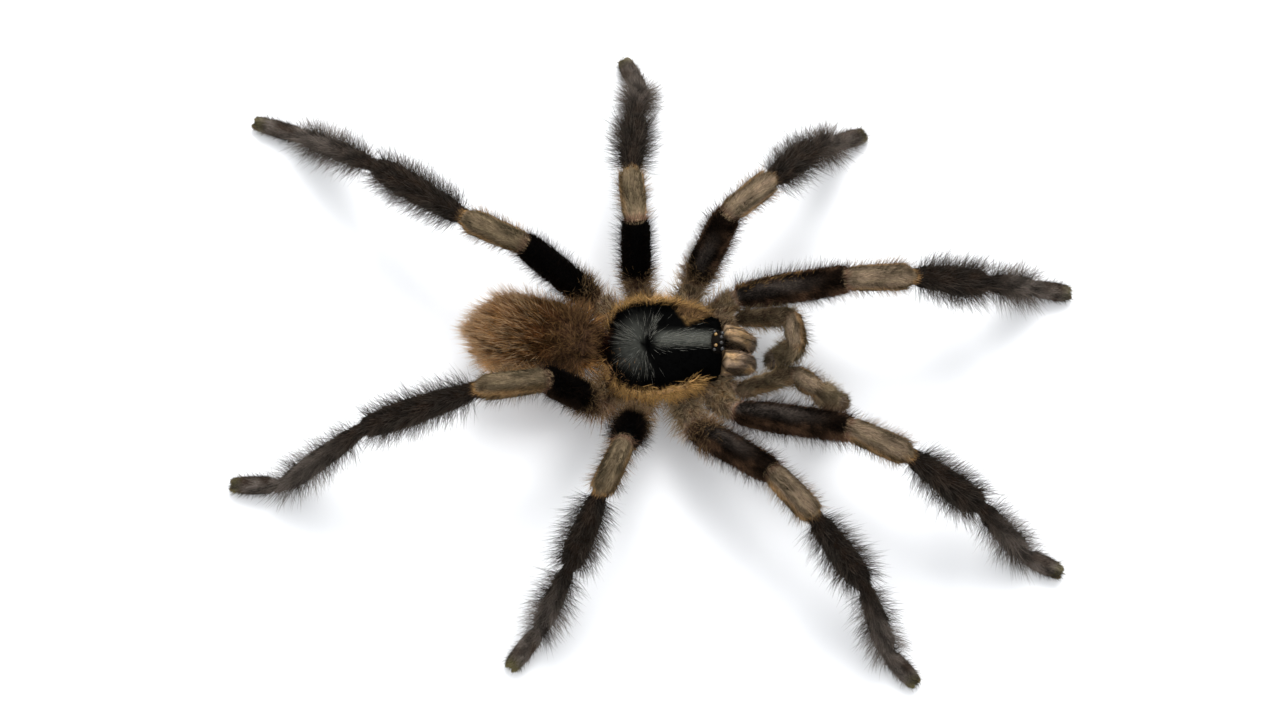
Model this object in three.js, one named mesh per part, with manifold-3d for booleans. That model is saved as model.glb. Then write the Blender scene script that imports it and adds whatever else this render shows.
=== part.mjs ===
// A tarantula, a mature male, standing with its legs spread: a still model at life size.
// Millimetres, +Z up. The head faces -Y and the spider's left side is +X.
// The solids reach out to the tips of the coat; single bristles are left out.
import * as THREE from 'three';
import { mergeVertices } from 'three/addons/utils/BufferGeometryUtils.js';
import Module from 'manifold-3d';

const wasm = await Module();
wasm.setup();

// ---------------------------------------------------------------- driving dimensions

const GAP = 0.3; // clear space between neighbouring pieces
const HIP_HEIGHT = 8; // centre of the joint between coxa and femur, above the floor
const TOE_HEIGHT = 1.0; // centre of a foot's tip above the floor
const SOLE_DEPTH = 0.5; // what a foot has lower than this is pressed flat on the floor

// Lengths along the body are measured forward from the middle of the carapace,
// widths to the spider's left, heights from the floor.
const CARAPACE = {
  edgeHeight: 9.9, // flat underside
  lip: 0.8, // thickness of the plate at its edge
  archPower: 0.85, // below 1 gives fuller flanks than half an oval
};
// Outline and crown of the carapace: [forward, half width, height of the crown].
const CARAPACE_STATIONS = [
  [-10.25, 3.2, 10.9],
  [-9.6, 5.6, 11.6],
  [-8.0, 7.4, 12.5],
  [-5.6, 8.4, 13.2],
  [-3.4, 8.75, 13.3],
  [-0.6, 8.75, 13.7],
  [2.4, 8.2, 14.2],
  [5.2, 7.1, 14.5],
  [7.6, 6.1, 14.5],
  [9.3, 5.6, 14.0],
  [10.25, 4.9, 12.9],
];
// Sternum with the labium as its narrow front end: [forward, half width, height of the underside].
const STERNUM_TOP = 9.3;
const STERNUM_RIM = 1.4; // height of its rounded edge
const STERNUM_PINCH = 0.2; // how far its edge is drawn in towards the middle
const STERNUM_STATIONS = [
  [-5.7, 0.8, 5.7],
  [-4.7, 2.2, 5.0],
  [-2.2, 3.7, 4.6],
  [1.2, 3.9, 4.5],
  [3.5, 2.9, 4.7],
  [4.5, 1.6, 5.2],
  [5.6, 1.5, 4.9],
  [6.7, 1.1, 5.3],
];

// Abdomen: its axis leaves the pedicel and swings a little to the left.
const ABDOMEN = {
  front: [-10.9, 0.5], // [forward, across]
  length: 23.4,
  height: 9.2,
  swing: 7, // degrees to the left
  halfWidth: 7.5,
  halfHeight: 6.3,
  fullest: 0.56, // share of the length where it is widest
  bluntness: 2.3, // 2 is an oval, more is blunter at both ends
  ends: 0.985, // leaves a small flat at each end
};
const PEDICEL = { front: -7.1, back: -9.8, halfWidth: 1.3, halfHeight: 1.1, height: 8.0 };

// Chelicerae lean together: [forward, across, height, half width, half height].
const CHELICERA_STATIONS = [
  [10.6, 2.35, 9.4, 1.85, 2.6],
  [11.8, 2.2, 9.6, 2.05, 2.9],
  [13.0, 2.05, 9.0, 1.95, 2.75],
  [13.8, 1.9, 7.8, 1.8, 2.3],
  [14.05, 1.8, 6.5, 1.7, 1.95],
  [13.95, 1.75, 5.3, 1.4, 1.5],
];
const CHELICERA_SIDES = 14;
// Fangs fold back under the chelicerae: [forward, height, radius].
const FANG_ACROSS = 1.75;
const FANG_STATIONS = [
  [14.5, 4.75, 0.8],
  [14.35, 3.95, 0.85],
  [13.5, 3.45, 0.7],
  [12.3, 3.7, 0.5],
  [11.3, 4.35, 0.3],
];

// Spinnerets, a pair under the end of the abdomen:
// [distance along the abdomen's axis, across from it, height, radius].
const SPINNERET_STATIONS = [
  [18.6, 1.5, 4.4, 0.95],
  [20.2, 1.7, 3.7, 1.0],
  [21.6, 1.95, 3.3, 0.8],
  [23.0, 2.2, 3.1, 0.45],
];

// Eye mound on the front of the carapace, and its eight eyes.
const MOUND = { forward: 8.95, height: 14.0, halfLength: 1.35, halfWidth: 2.15, halfHeight: 1.55 };
const EYE_GAP = 0.12;
// Each pair of eyes: [forward from the mound's middle, across, radius].
const EYES = {
  front_middle: [0.62, 0.5, 0.38],
  front_side: [0.8, 1.38, 0.4],
  back_middle: [-0.3, 0.98, 0.3],
  back_side: [-0.5, 1.6, 0.33],
};

// Legs. Hip and coxa root are [forward, across] from the middle of the carapace.
// Lengths run femur, patella, tibia, metatarsus, tarsus. Each side has the heading of
// those five (0 ahead, positive outwards) and the pitch of all but the metatarsus,
// which slopes as far as the foot needs to reach the floor.
const LEG_PAIRS = {
  leg1: {
    hip: [12.4, 10.5],
    root: [4.6, 3.6],
    lengths: [20.9, 10.5, 15.6, 13.6, 7.1],
    girth: 1.0,
    hook: true,
    left: { headings: [0, 1, 7, 15, -1], pitches: [28, 7, -26, -17] },
    right: { headings: [15, 25, 30, 35, 24], pitches: [22, 4, -20, -12] },
  },
  leg2: {
    hip: [5.0, 13.2],
    root: [1.8, 4.5],
    lengths: [18.0, 9.7, 14.6, 13.9, 6.8],
    girth: 0.97,
    left: { headings: [50, 44, 50, 52, 28], pitches: [63, -8, -31, -24] },
    right: { headings: [37, 46, 51, 64, 46], pitches: [24, -2, -16, -12] },
  },
  leg3: {
    hip: [-5.0, 11.9],
    root: [-1.6, 4.4],
    lengths: [14.4, 9.2, 14.0, 15.1, 7.8],
    girth: 0.96,
    left: { headings: [93, 96, 88, 86, 115], pitches: [58, -9, -20, -16] },
    right: { headings: [100, 113, 114, 122, 128], pitches: [56, 2, -27, -12] },
  },
  leg4: {
    hip: [-12.0, 9.1],
    root: [-4.9, 3.5],
    lengths: [17.9, 10.8, 21.5, 21.5, 9.7],
    girth: 0.98,
    left: { headings: [154, 155, 145, 145, 161], pitches: [41, -4, -14, -10] },
    right: { headings: [168, 172, 165, 158, 182], pitches: [65, -3, -17, -12] },
  },
};
const ROOT_HEIGHT = 6.9; // middle of a coxa beside the sternum

// Palps: lengths of femur, patella, tibia, tarsus, and the heading and pitch of each.
const PALPS = {
  hip: [12.6, 6.7],
  hipHeight: 7.6,
  root: [5.9, 2.6],
  rootHeight: 6.6,
  lengths: [10.3, 6.0, 6.3, 4.2],
  left: { headings: [-7, -82, -184, -176], pitches: [26, 14, -68, -62] },
  right: { headings: [-17, 45, 0, -12], pitches: [8, 28, -63, -52] },
};

// Thickness of each segment with its coat: [place along it, half width, half height].
const SHAPES = {
  coxa: [
    [0, 1.25, 1.8], [0.3, 1.9, 2.05], [0.6, 2.4, 1.95],
    [0.74, 2.4, 2.25], [0.82, 2.0, 2.05], [0.92, 2.2, 2.25],
  ],
  femur: [[0, 2.05, 2.05], [0.16, 2.45, 2.5], [0.4, 2.65, 2.7], [0.8, 2.65, 2.65], [1, 2.45, 2.4]],
  patella: [[0, 2.1, 2.05], [0.25, 2.3, 2.2], [0.7, 2.45, 2.35], [1, 2.35, 2.25]],
  tibia: [[0, 1.9, 1.9], [0.2, 2.5, 2.5], [0.55, 2.9, 2.9], [0.85, 2.9, 2.9], [1, 2.2, 2.2]],
  metatarsus: [[0, 1.75, 1.75], [0.2, 2.2, 2.2], [0.6, 2.5, 2.5], [0.88, 2.4, 2.3]],
  tarsus: [[0, 1.65, 1.6], [0.35, 1.8, 1.7], [0.65, 1.8, 1.7], [0.9, 1.65, 1.5], [1, 1.15, 1.1]],
  palpCoxa: [[0, 1.2, 1.6], [0.35, 1.6, 1.8], [0.7, 1.65, 1.75], [0.8, 1.5, 1.55], [0.92, 1.55, 1.6]],
  palpFemur: [[0, 1.55, 1.55], [0.2, 1.65, 1.75], [0.75, 1.8, 1.85], [1, 1.75, 1.75]],
  palpPatella: [[0, 1.6, 1.6], [0.5, 2.0, 2.0], [1, 1.8, 1.8]],
  palpTibia: [[0, 1.65, 1.65], [0.4, 2.2, 2.2], [0.8, 2.15, 2.1], [1, 1.7, 1.65]],
  palpTarsus: [[0, 1.6, 1.55], [0.45, 2.1, 1.9], [0.8, 1.75, 1.6], [1, 1.0, 0.95]],
};
const HOOK = { from: 0.6, to: 0.96, drop: 0.8 }; // swelling under the end of the front tibiae

const MITRE_FADE = 0.4; // share of a segment over which a slanted end plane turns square

const LIMB_SIDES = 10;
const BODY_SIDES = 18;

const MATERIALS = {
  carapace: new THREE.MeshStandardMaterial({ color: 0x23241f, roughness: 0.55 }),
  underside: new THREE.MeshStandardMaterial({ color: 0x2a1f18, roughness: 0.8 }),
  abdomen: new THREE.MeshStandardMaterial({ color: 0x6e4a2f, roughness: 0.85 }),
  chelicera: new THREE.MeshStandardMaterial({ color: 0x7a6248, roughness: 0.75 }),
  fang: new THREE.MeshStandardMaterial({ color: 0x1a100c, roughness: 0.25 }),
  eye: new THREE.MeshStandardMaterial({ color: 0x2b2011, roughness: 0.05 }),
  thigh: new THREE.MeshStandardMaterial({ color: 0x1b1714, roughness: 0.9 }),
  patella: new THREE.MeshStandardMaterial({ color: 0x5d513f, roughness: 0.85 }),
  shin: new THREE.MeshStandardMaterial({ color: 0x27201b, roughness: 0.9 }),
  foot: new THREE.MeshStandardMaterial({ color: 0x322a22, roughness: 0.9 }),
  palp: new THREE.MeshStandardMaterial({ color: 0x4a3c2e, roughness: 0.88 }),
};

// ---------------------------------------------------------------- helpers

const UP = new THREE.Vector3(0, 0, 1);
const SIDES = { left: 1, right: -1 };
const spider = new THREE.Group();

// A point by its place on the spider: forward, to its left, and up.
function place(forward, left, up) {
  return new THREE.Vector3(left, -forward, up);
}

function direction(heading, pitch) {
  const h = THREE.MathUtils.degToRad(heading);
  const p = THREE.MathUtils.degToRad(pitch);
  return place(Math.cos(p) * Math.cos(h), Math.cos(p) * Math.sin(h), Math.sin(p));
}

function addPiece(name, geometry, material) {
  const mesh = new THREE.Mesh(geometry, material);
  mesh.name = name;
  spider.add(mesh);
}

function signedVolume(positions, indices) {
  const corner = (i) => new THREE.Vector3().fromArray(positions, 3 * i);
  let volume = 0;
  for (let i = 0; i < indices.length; i += 3) {
    const [a, b, c] = [0, 1, 2].map((k) => corner(indices[i + k]));
    volume += a.dot(b.cross(c)) / 6;
  }
  return volume;
}

// A closed solid over a row of rings, with flat ends. All rings have the same count of points.
function loft(rings) {
  const sides = rings[0].length;
  const positions = rings.flat().flatMap((point) => point.toArray());
  const indices = [];
  for (let ring = 0; ring + 1 < rings.length; ring++) {
    for (let side = 0; side < sides; side++) {
      const a = ring * sides + side;
      const b = ring * sides + ((side + 1) % sides);
      indices.push(a, b, b + sides, a, b + sides, a + sides);
    }
  }
  const last = (rings.length - 1) * sides;
  for (let side = 1; side + 1 < sides; side++) {
    indices.push(0, side + 1, side, last, last + side, last + side + 1);
  }
  if (signedVolume(positions, indices) < 0) {
    indices.reverse();
  }
  const geometry = new THREE.BufferGeometry();
  geometry.setAttribute('position', new THREE.Float32BufferAttribute(positions, 3));
  geometry.setIndex(indices);
  return geometry;
}

// An oval ring round an axis. Its points slide along the axis into the plane of `normal`,
// so that two limbs which meet at an angle share one mitred plane.
function ovalRing(centre, axis, normal, halfWidth, halfHeight, sides) {
  const across = new THREE.Vector3().crossVectors(axis, UP).normalize();
  const upward = new THREE.Vector3().crossVectors(across, axis);
  return Array.from({ length: sides }, (_, i) => {
    const angle = (2 * Math.PI * (i + 0.5)) / sides;
    const spoke = across.clone().multiplyScalar(halfWidth * Math.cos(angle));
    spoke.addScaledVector(upward, halfHeight * Math.sin(angle));
    const slide = -spoke.dot(normal) / axis.dot(normal);
    return centre.clone().add(spoke).addScaledVector(axis, slide);
  });
}

// Rings of one limb segment between two joints. The planes of the joints fade into
// planes square to the segment, and `grow` thickens it.
function segmentRings(start, end, startNormal, endNormal, shape, options = {}) {
  const { girth = 1, grow = 0, hook = false } = options;
  const axis = end.clone().sub(start).normalize();
  return shape.map(([along, halfWidth, halfHeight]) => {
    const centre = start.clone().lerp(end, along);
    const toStart = THREE.MathUtils.clamp(1 - along / MITRE_FADE, 0, 1);
    const toEnd = THREE.MathUtils.clamp(1 - (1 - along) / MITRE_FADE, 0, 1);
    const normal = axis.clone().lerp(startNormal, toStart).lerp(endNormal, toEnd).normalize();
    const drop = hook && along > HOOK.from && along < HOOK.to ? HOOK.drop : 0;
    centre.z -= drop;
    const width = halfWidth * girth + grow;
    const height = halfHeight * girth + drop + grow;
    return ovalRing(centre, axis, normal, width, height, LIMB_SIDES);
  });
}

// The ends of a segment step back from the joints, half a gap on each side.
function betweenJoints(start, end, startNormal, endNormal) {
  const axis = end.clone().sub(start).normalize();
  return [
    start.clone().addScaledVector(axis, GAP / 2 / axis.dot(startNormal)),
    end.clone().addScaledVector(axis, -GAP / 2 / axis.dot(endNormal)),
  ];
}

// Joints of a limb from its root, and the plane of each joint, halfway between its neighbours.
function chain(root, hip, lengths, directions) {
  const joints = [root, hip];
  lengths.forEach((length, i) => {
    joints.push(joints.at(-1).clone().addScaledVector(directions[i], length));
  });
  const axes = joints.slice(1).map((joint, i) => joint.clone().sub(joints[i]).normalize());
  const normals = joints.map((_, i) => {
    const before = axes[Math.max(i - 1, 0)];
    const after = axes[Math.min(i, axes.length - 1)];
    return before.clone().add(after).normalize();
  });
  return { joints, normals };
}

// Press whatever is close to the floor flat on it, which gives a foot its sole.
function standOnFloor(rings) {
  rings.flat().filter((point) => point.z < SOLE_DEPTH).forEach((point) => {
    point.z = 0;
  });
  return rings;
}

function toManifold(geometry) {
  const merged = mergeVertices(geometry, 1e-4);
  return new wasm.Manifold(new wasm.Mesh({
    numProp: 3,
    vertProperties: new Float32Array(merged.getAttribute('position').array),
    triVerts: new Uint32Array(merged.getIndex().array),
  }));
}

// A solid with its neighbours, each given a little too large, cut out of it.
function carve(geometry, neighbours) {
  let carved = toManifold(geometry);
  for (const other of neighbours) {
    carved = carved.subtract(toManifold(other));
  }
  const mesh = carved.getMesh();
  const result = new THREE.BufferGeometry();
  result.setAttribute('position', new THREE.Float32BufferAttribute(mesh.vertProperties, 3));
  result.setIndex(Array.from(mesh.triVerts));
  return result;
}

// ---------------------------------------------------------------- carapace and sternum

// Each station is a flat underside, a thin lip and an arched back.
function carapaceGeometry(grow = 0) {
  const crownPoints = 11;
  return loft(CARAPACE_STATIONS.map(([forward, halfWidth, crown]) => {
    const lipHeight = CARAPACE.edgeHeight + CARAPACE.lip;
    const ring = [
      place(forward, halfWidth + grow, CARAPACE.edgeHeight - grow),
      place(forward, 0, CARAPACE.edgeHeight - grow),
      place(forward, -halfWidth - grow, CARAPACE.edgeHeight - grow),
    ];
    for (let i = 0; i <= crownPoints; i++) {
      const angle = Math.PI * (1 - i / crownPoints);
      const across = (halfWidth + grow) * Math.cos(angle);
      const arch = Math.sin(angle) ** CARAPACE.archPower;
      ring.push(place(forward, across, lipHeight + (crown + grow - lipHeight) * arch));
    }
    return ring;
  }));
}

// Each station is a flat top and a rounded underside.
function sternumGeometry(grow = 0) {
  const undersidePoints = 7;
  return loft(STERNUM_STATIONS.map(([forward, halfWidth, bottom]) => {
    const ring = [place(forward, -halfWidth - grow, STERNUM_TOP + grow)];
    for (let i = 0; i <= undersidePoints; i++) {
      const angle = (Math.PI * i) / undersidePoints;
      const spread = THREE.MathUtils.lerp(Math.cos(angle), Math.cos(angle) ** 3, STERNUM_PINCH);
      const drop = (STERNUM_RIM + grow) * Math.sin(angle) ** 0.7;
      ring.push(place(forward, (halfWidth + grow) * spread, bottom + STERNUM_RIM - drop));
    }
    ring.splice(1, 0, place(forward, halfWidth + grow, STERNUM_TOP + grow));
    return ring;
  }));
}

addPiece('carapace', carapaceGeometry(), MATERIALS.carapace);
addPiece('sternum', sternumGeometry(), MATERIALS.underside);

// ---------------------------------------------------------------- abdomen and spinnerets

const abdomenAxis = direction(180 - ABDOMEN.swing, 0);

// A point by its distance along the abdomen's axis, its place across that axis, and its height.
function onAbdomen(along, across, height) {
  const sideways = new THREE.Vector3().crossVectors(abdomenAxis, UP);
  return place(ABDOMEN.front[0], ABDOMEN.front[1], height)
    .addScaledVector(abdomenAxis, along)
    .addScaledVector(sideways, -across);
}

// A blunt egg, fullest behind its middle, on a short thin pedicel.
function abdomenRings(grow = 0) {
  const steps = 12;
  const rings = [PEDICEL.front, PEDICEL.back].map((forward) => ovalRing(
    place(forward, 0, PEDICEL.height), abdomenAxis, place(-1, 0, 0),
    PEDICEL.halfWidth + grow, PEDICEL.halfHeight + grow, BODY_SIDES,
  ));
  for (let i = 0; i <= steps; i++) {
    const along = (1 - ABDOMEN.ends * Math.cos((Math.PI * i) / steps)) / 2;
    const reach = along < ABDOMEN.fullest ? ABDOMEN.fullest : 1 - ABDOMEN.fullest;
    const away = Math.abs(along - ABDOMEN.fullest) / reach;
    const fullness = Math.sqrt(1 - away ** ABDOMEN.bluntness);
    rings.push(ovalRing(
      onAbdomen(along * ABDOMEN.length, 0, ABDOMEN.height), abdomenAxis, abdomenAxis,
      ABDOMEN.halfWidth * fullness + grow, ABDOMEN.halfHeight * fullness + grow, BODY_SIDES,
    ));
  }
  return rings;
}

addPiece('abdomen', loft(abdomenRings()), MATERIALS.abdomen);

// The direction of a row of points at one of them, taken from its neighbours.
function axisAt(points, i) {
  const next = points[Math.min(i + 1, points.length - 1)];
  return next.clone().sub(points[Math.max(i - 1, 0)]).normalize();
}

// A round tapering solid along a row of points, each with its radius.
function taper(points, radii, sides) {
  return loft(points.map((point, i) => {
    const axis = axisAt(points, i);
    return ovalRing(point, axis, axis, radii[i], radii[i], sides);
  }));
}

function spinneretGeometry(side) {
  const points = SPINNERET_STATIONS.map(([along, across, height]) => (
    onAbdomen(along, across * side, height)
  ));
  return taper(points, SPINNERET_STATIONS.map((station) => station[3]), 8);
}

// ---------------------------------------------------------------- chelicerae and fangs

function cheliceraGeometry(side, grow = 0) {
  const points = CHELICERA_STATIONS.map(([forward, across, height]) => (
    place(forward, across * side, height)
  ));
  return loft(points.map((point, i) => {
    const [, , , halfWidth, halfHeight] = CHELICERA_STATIONS[i];
    const axis = i === 0 ? place(1, 0, 0) : axisAt(points, i);
    return ovalRing(point, axis, axis, halfWidth + grow, halfHeight + grow, CHELICERA_SIDES);
  }));
}

function fangGeometry(side) {
  const points = FANG_STATIONS.map(([forward, height]) => place(forward, FANG_ACROSS * side, height));
  return taper(points, FANG_STATIONS.map((station) => station[2]), 8);
}

for (const [sideName, side] of Object.entries(SIDES)) {
  addPiece(`chelicera_${sideName}`, cheliceraGeometry(side), MATERIALS.chelicera);
  addPiece(`fang_${sideName}`, fangGeometry(side), MATERIALS.fang);
  const spinneret = carve(spinneretGeometry(side), [loft(abdomenRings(GAP))]);
  addPiece(`spinneret_${sideName}`, spinneret, MATERIALS.abdomen);
}

// ---------------------------------------------------------------- eyes

function ball(centre, radius, detail = 1) {
  const geometry = mergeVertices(stripped(new THREE.IcosahedronGeometry(radius, detail)), 1e-4);
  return geometry.translate(centre.x, centre.y, centre.z);
}

// Only the positions, so that shared corners can be merged.
function stripped(geometry) {
  geometry.deleteAttribute('normal');
  geometry.deleteAttribute('uv');
  return geometry;
}

function moundGeometry() {
  const { halfWidth, halfLength, halfHeight, forward, height } = MOUND;
  const geometry = ball(new THREE.Vector3(), 1, 2);
  geometry.scale(halfWidth, halfLength, halfHeight);
  const middle = place(forward, 0, height);
  return geometry.translate(middle.x, middle.y, middle.z);
}

// Eyes sit with their centres just under the surface of the mound.
function eyeCentre([forward, across], side, sink) {
  const { halfWidth, halfLength, halfHeight } = MOUND;
  const rise = Math.sqrt(1 - (across / halfWidth) ** 2 - (forward / halfLength) ** 2);
  return place(MOUND.forward + forward, across * side, MOUND.height + halfHeight * rise - sink);
}

const sockets = [];
for (const [eyeName, eye] of Object.entries(EYES)) {
  const radius = eye[2];
  for (const [sideName, side] of Object.entries(SIDES)) {
    const centre = eyeCentre(eye, side, radius * 0.3);
    addPiece(`eye_${eyeName}_${sideName}`, ball(centre, radius), MATERIALS.eye);
    sockets.push(ball(centre, radius + EYE_GAP));
  }
}
addPiece('eye_mound', carve(moundGeometry(), [carapaceGeometry(GAP), ...sockets]), MATERIALS.carapace);

// ---------------------------------------------------------------- legs

// The metatarsus slopes so that the tarsus, at its own pitch, brings the toe down to the floor.
function metatarsusPitch(heightAbove, lengths, tarsusPitch) {
  const [, , , metatarsus, tarsus] = lengths;
  const fall = heightAbove - TOE_HEIGHT + tarsus * Math.sin(THREE.MathUtils.degToRad(tarsusPitch));
  return -THREE.MathUtils.radToDeg(Math.asin(fall / metatarsus));
}

function legChain({ hip, root, lengths }, { headings, pitches }, side) {
  const [femur, patella, tibia, tarsus] = pitches;
  const ankleHeight = [femur, patella, tibia].reduce(
    (height, pitch, i) => height + lengths[i] * Math.sin(THREE.MathUtils.degToRad(pitch)), HIP_HEIGHT,
  );
  const metatarsus = metatarsusPitch(ankleHeight, lengths, tarsus);
  const allPitches = [femur, patella, tibia, metatarsus, tarsus];
  return chain(
    place(root[0], root[1] * side, ROOT_HEIGHT),
    place(hip[0], hip[1] * side, HIP_HEIGHT),
    lengths,
    headings.map((heading, i) => direction(heading * side, allPitches[i])),
  );
}

// Coxa and femur are one solid through the hip.
function thighGeometry({ joints, normals }, coxaShape, femurShape, options) {
  const [, knee] = betweenJoints(joints[1], joints[2], normals[1], normals[2]);
  return loft([
    ...segmentRings(joints[0], joints[1], normals[0], normals[1], coxaShape, options),
    ...segmentRings(joints[1], knee, normals[1], normals[2], femurShape, options),
  ]);
}

function segmentGeometry({ joints, normals }, index, shape, options) {
  const startNormal = normals[index];
  const endNormal = normals[index + 1];
  const [start, end] = betweenJoints(joints[index], joints[index + 1], startNormal, endNormal);
  return loft(segmentRings(start, end, startNormal, endNormal, shape, options));
}

// Metatarsus and tarsus are one solid that ends in a flat sole.
function footGeometry({ joints, normals }, options) {
  const [start] = betweenJoints(joints[4], joints[5], normals[4], normals[5]);
  return loft(standOnFloor([
    ...segmentRings(start, joints[5], normals[4], normals[5], SHAPES.metatarsus, options),
    ...segmentRings(joints[5], joints[6], normals[5], normals[6], SHAPES.tarsus, options),
  ]));
}

const frontThighs = {};
for (const [pairName, pair] of Object.entries(LEG_PAIRS)) {
  for (const [sideName, side] of Object.entries(SIDES)) {
    const name = `${pairName}_${sideName}`;
    const leg = legChain(pair, pair[sideName], side);
    const options = { girth: pair.girth };
    if (pairName === 'leg1') {
      frontThighs[sideName] = thighGeometry(leg, SHAPES.coxa, SHAPES.femur, { ...options, grow: GAP });
    }
    addPiece(`${name}_thigh`, thighGeometry(leg, SHAPES.coxa, SHAPES.femur, options), MATERIALS.thigh);
    addPiece(`${name}_patella`, segmentGeometry(leg, 2, SHAPES.patella, options), MATERIALS.patella);
    const tibia = segmentGeometry(leg, 3, SHAPES.tibia, { ...options, hook: pair.hook });
    addPiece(`${name}_tibia`, tibia, MATERIALS.shin);
    addPiece(`${name}_foot`, footGeometry(leg, options), MATERIALS.foot);
  }
}

// ---------------------------------------------------------------- palps

for (const [sideName, side] of Object.entries(SIDES)) {
  const { headings, pitches } = PALPS[sideName];
  const palp = chain(
    place(PALPS.root[0], PALPS.root[1] * side, PALPS.rootHeight),
    place(PALPS.hip[0], PALPS.hip[1] * side, PALPS.hipHeight),
    PALPS.lengths,
    headings.map((heading, i) => direction(heading * side, pitches[i])),
  );
  const thigh = thighGeometry(palp, SHAPES.palpCoxa, SHAPES.palpFemur, {});
  const neighbours = [cheliceraGeometry(side, GAP), sternumGeometry(GAP), frontThighs[sideName]];
  addPiece(`palp_${sideName}_thigh`, carve(thigh, neighbours), MATERIALS.palp);
  addPiece(`palp_${sideName}_patella`, segmentGeometry(palp, 2, SHAPES.palpPatella), MATERIALS.palp);
  addPiece(`palp_${sideName}_tibia`, segmentGeometry(palp, 3, SHAPES.palpTibia), MATERIALS.palp);
  addPiece(`palp_${sideName}_tarsus`, segmentGeometry(palp, 4, SHAPES.palpTarsus), MATERIALS.palp);
}

// ---------------------------------------------------------------- origin under the middle of the box

const box = new THREE.Box3().setFromObject(spider);
const middle = box.getCenter(new THREE.Vector3());
spider.position.set(-middle.x, -middle.y, -box.min.z);

export default spider;
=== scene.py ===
# %% [markdown]
# # A tarantula with its coat
# A grown male tarantula stands on a pale floor. Its solid model is loaded first, as a fixed
# frame: it says where every segment lies. Over that frame this lesson makes one bare skin,
# plants a coat of thin solid hairs on it, and adds the pieces that are hard and shiny on the
# animal: eyes, fangs and claws. All measures are in millimetres, and are turned to metres
# only when a mesh is made.

# %% Load the frame
import math

import bpy
import numpy as np
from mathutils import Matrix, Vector, kdtree
from mathutils.bvhtree import BVHTree


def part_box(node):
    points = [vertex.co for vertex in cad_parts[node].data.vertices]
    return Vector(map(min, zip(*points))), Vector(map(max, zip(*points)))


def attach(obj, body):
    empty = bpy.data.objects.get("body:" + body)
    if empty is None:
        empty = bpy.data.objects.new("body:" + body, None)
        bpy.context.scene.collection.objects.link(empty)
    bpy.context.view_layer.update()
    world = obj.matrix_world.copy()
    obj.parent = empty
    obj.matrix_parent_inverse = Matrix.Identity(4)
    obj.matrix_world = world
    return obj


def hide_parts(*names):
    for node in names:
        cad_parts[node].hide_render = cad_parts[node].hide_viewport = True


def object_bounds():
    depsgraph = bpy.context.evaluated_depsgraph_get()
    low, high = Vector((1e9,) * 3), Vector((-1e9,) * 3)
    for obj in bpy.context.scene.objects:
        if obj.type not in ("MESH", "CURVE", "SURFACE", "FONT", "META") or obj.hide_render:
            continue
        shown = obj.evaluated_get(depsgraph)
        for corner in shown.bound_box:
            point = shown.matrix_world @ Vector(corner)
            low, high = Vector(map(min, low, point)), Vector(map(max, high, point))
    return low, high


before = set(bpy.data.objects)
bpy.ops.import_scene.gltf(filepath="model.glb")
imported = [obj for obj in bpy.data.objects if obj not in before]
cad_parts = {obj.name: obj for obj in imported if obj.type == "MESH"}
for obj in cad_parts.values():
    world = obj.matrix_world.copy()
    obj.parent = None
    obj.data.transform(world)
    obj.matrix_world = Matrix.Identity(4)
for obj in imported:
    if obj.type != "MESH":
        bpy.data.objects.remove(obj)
cad_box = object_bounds()
MM = 0.001
FULL_TURN = 2 * math.pi
random = np.random.default_rng(20)
size = [round(v / MM, 1) for v in cad_box[1] - cad_box[0]]
print(len(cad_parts), "solids, box", size, "mm")

# %% [markdown]
# ## Reading the solids
# The skin has to follow the solids, so they are measured and not copied. Two neighbouring
# segments end in two facing rings with a hair's breadth between them: the corners that lie
# close to the other piece are those rings, and their mean is the joint. A plane laid through
# a segment cuts an outline, and that gives its middle and its thickness there.

# %% Corners and triangles
def unit(vector):
    """The same direction, one unit long, for one vector or for rows of them."""
    vector = np.asarray(vector, float)
    return vector / np.maximum(np.linalg.norm(vector, axis=-1, keepdims=True), 1e-9)


def mesh_corners(mesh):
    """The corners of a mesh, one in a row, in metres."""
    co = np.empty(3 * len(mesh.vertices))
    mesh.vertices.foreach_get("co", co)
    return co.reshape(-1, 3)


def mesh_triangles(mesh):
    """The triangles of a mesh, as corner triples in metres."""
    mesh.calc_loop_triangles()
    index = np.empty(3 * len(mesh.loop_triangles), np.int32)
    mesh.loop_triangles.foreach_get("vertices", index)
    return mesh_corners(mesh)[index].reshape(-1, 3, 3)


solids = {node: mesh_triangles(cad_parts[node].data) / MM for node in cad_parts}


def corners(node):
    """Every corner of a solid, once."""
    return np.unique(solids[node].reshape(-1, 3).round(3), axis=0)


print(sum(len(found) for found in solids.values()), "triangles read")

# %% Joints and cuts
JOINT_REACH = 0.9
CUT_REACH = 4.4


def joint_between(node_a, node_b):
    """The middle of the gap between two segments."""
    a, b = corners(node_a), corners(node_b)
    apart = np.linalg.norm(a[:, None] - b[None], axis=2)
    return (a[apart.min(1) < JOINT_REACH].mean(0) + b[apart.min(0) < JOINT_REACH].mean(0)) / 2


def cut(node, point, normal, reach=CUT_REACH):
    """The corners of the outline in which a plane cuts a solid, close to a point."""
    tri = solids[node]
    side = (tri - point) @ normal
    crossed = (side.min(1) < 0) & (side.max(1) > 0)
    tri, side = tri[crossed], side[crossed]
    found = []
    for i, j in ((0, 1), (1, 2), (2, 0)):
        hit = side[:, i] * side[:, j] < 0
        share = side[hit, i] / (side[hit, i] - side[hit, j])
        found.append(tri[hit, i] + share[:, None] * (tri[hit, j] - tri[hit, i]))
    found = np.concatenate(found)
    return found[np.linalg.norm(found - point, axis=1) < reach]


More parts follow.
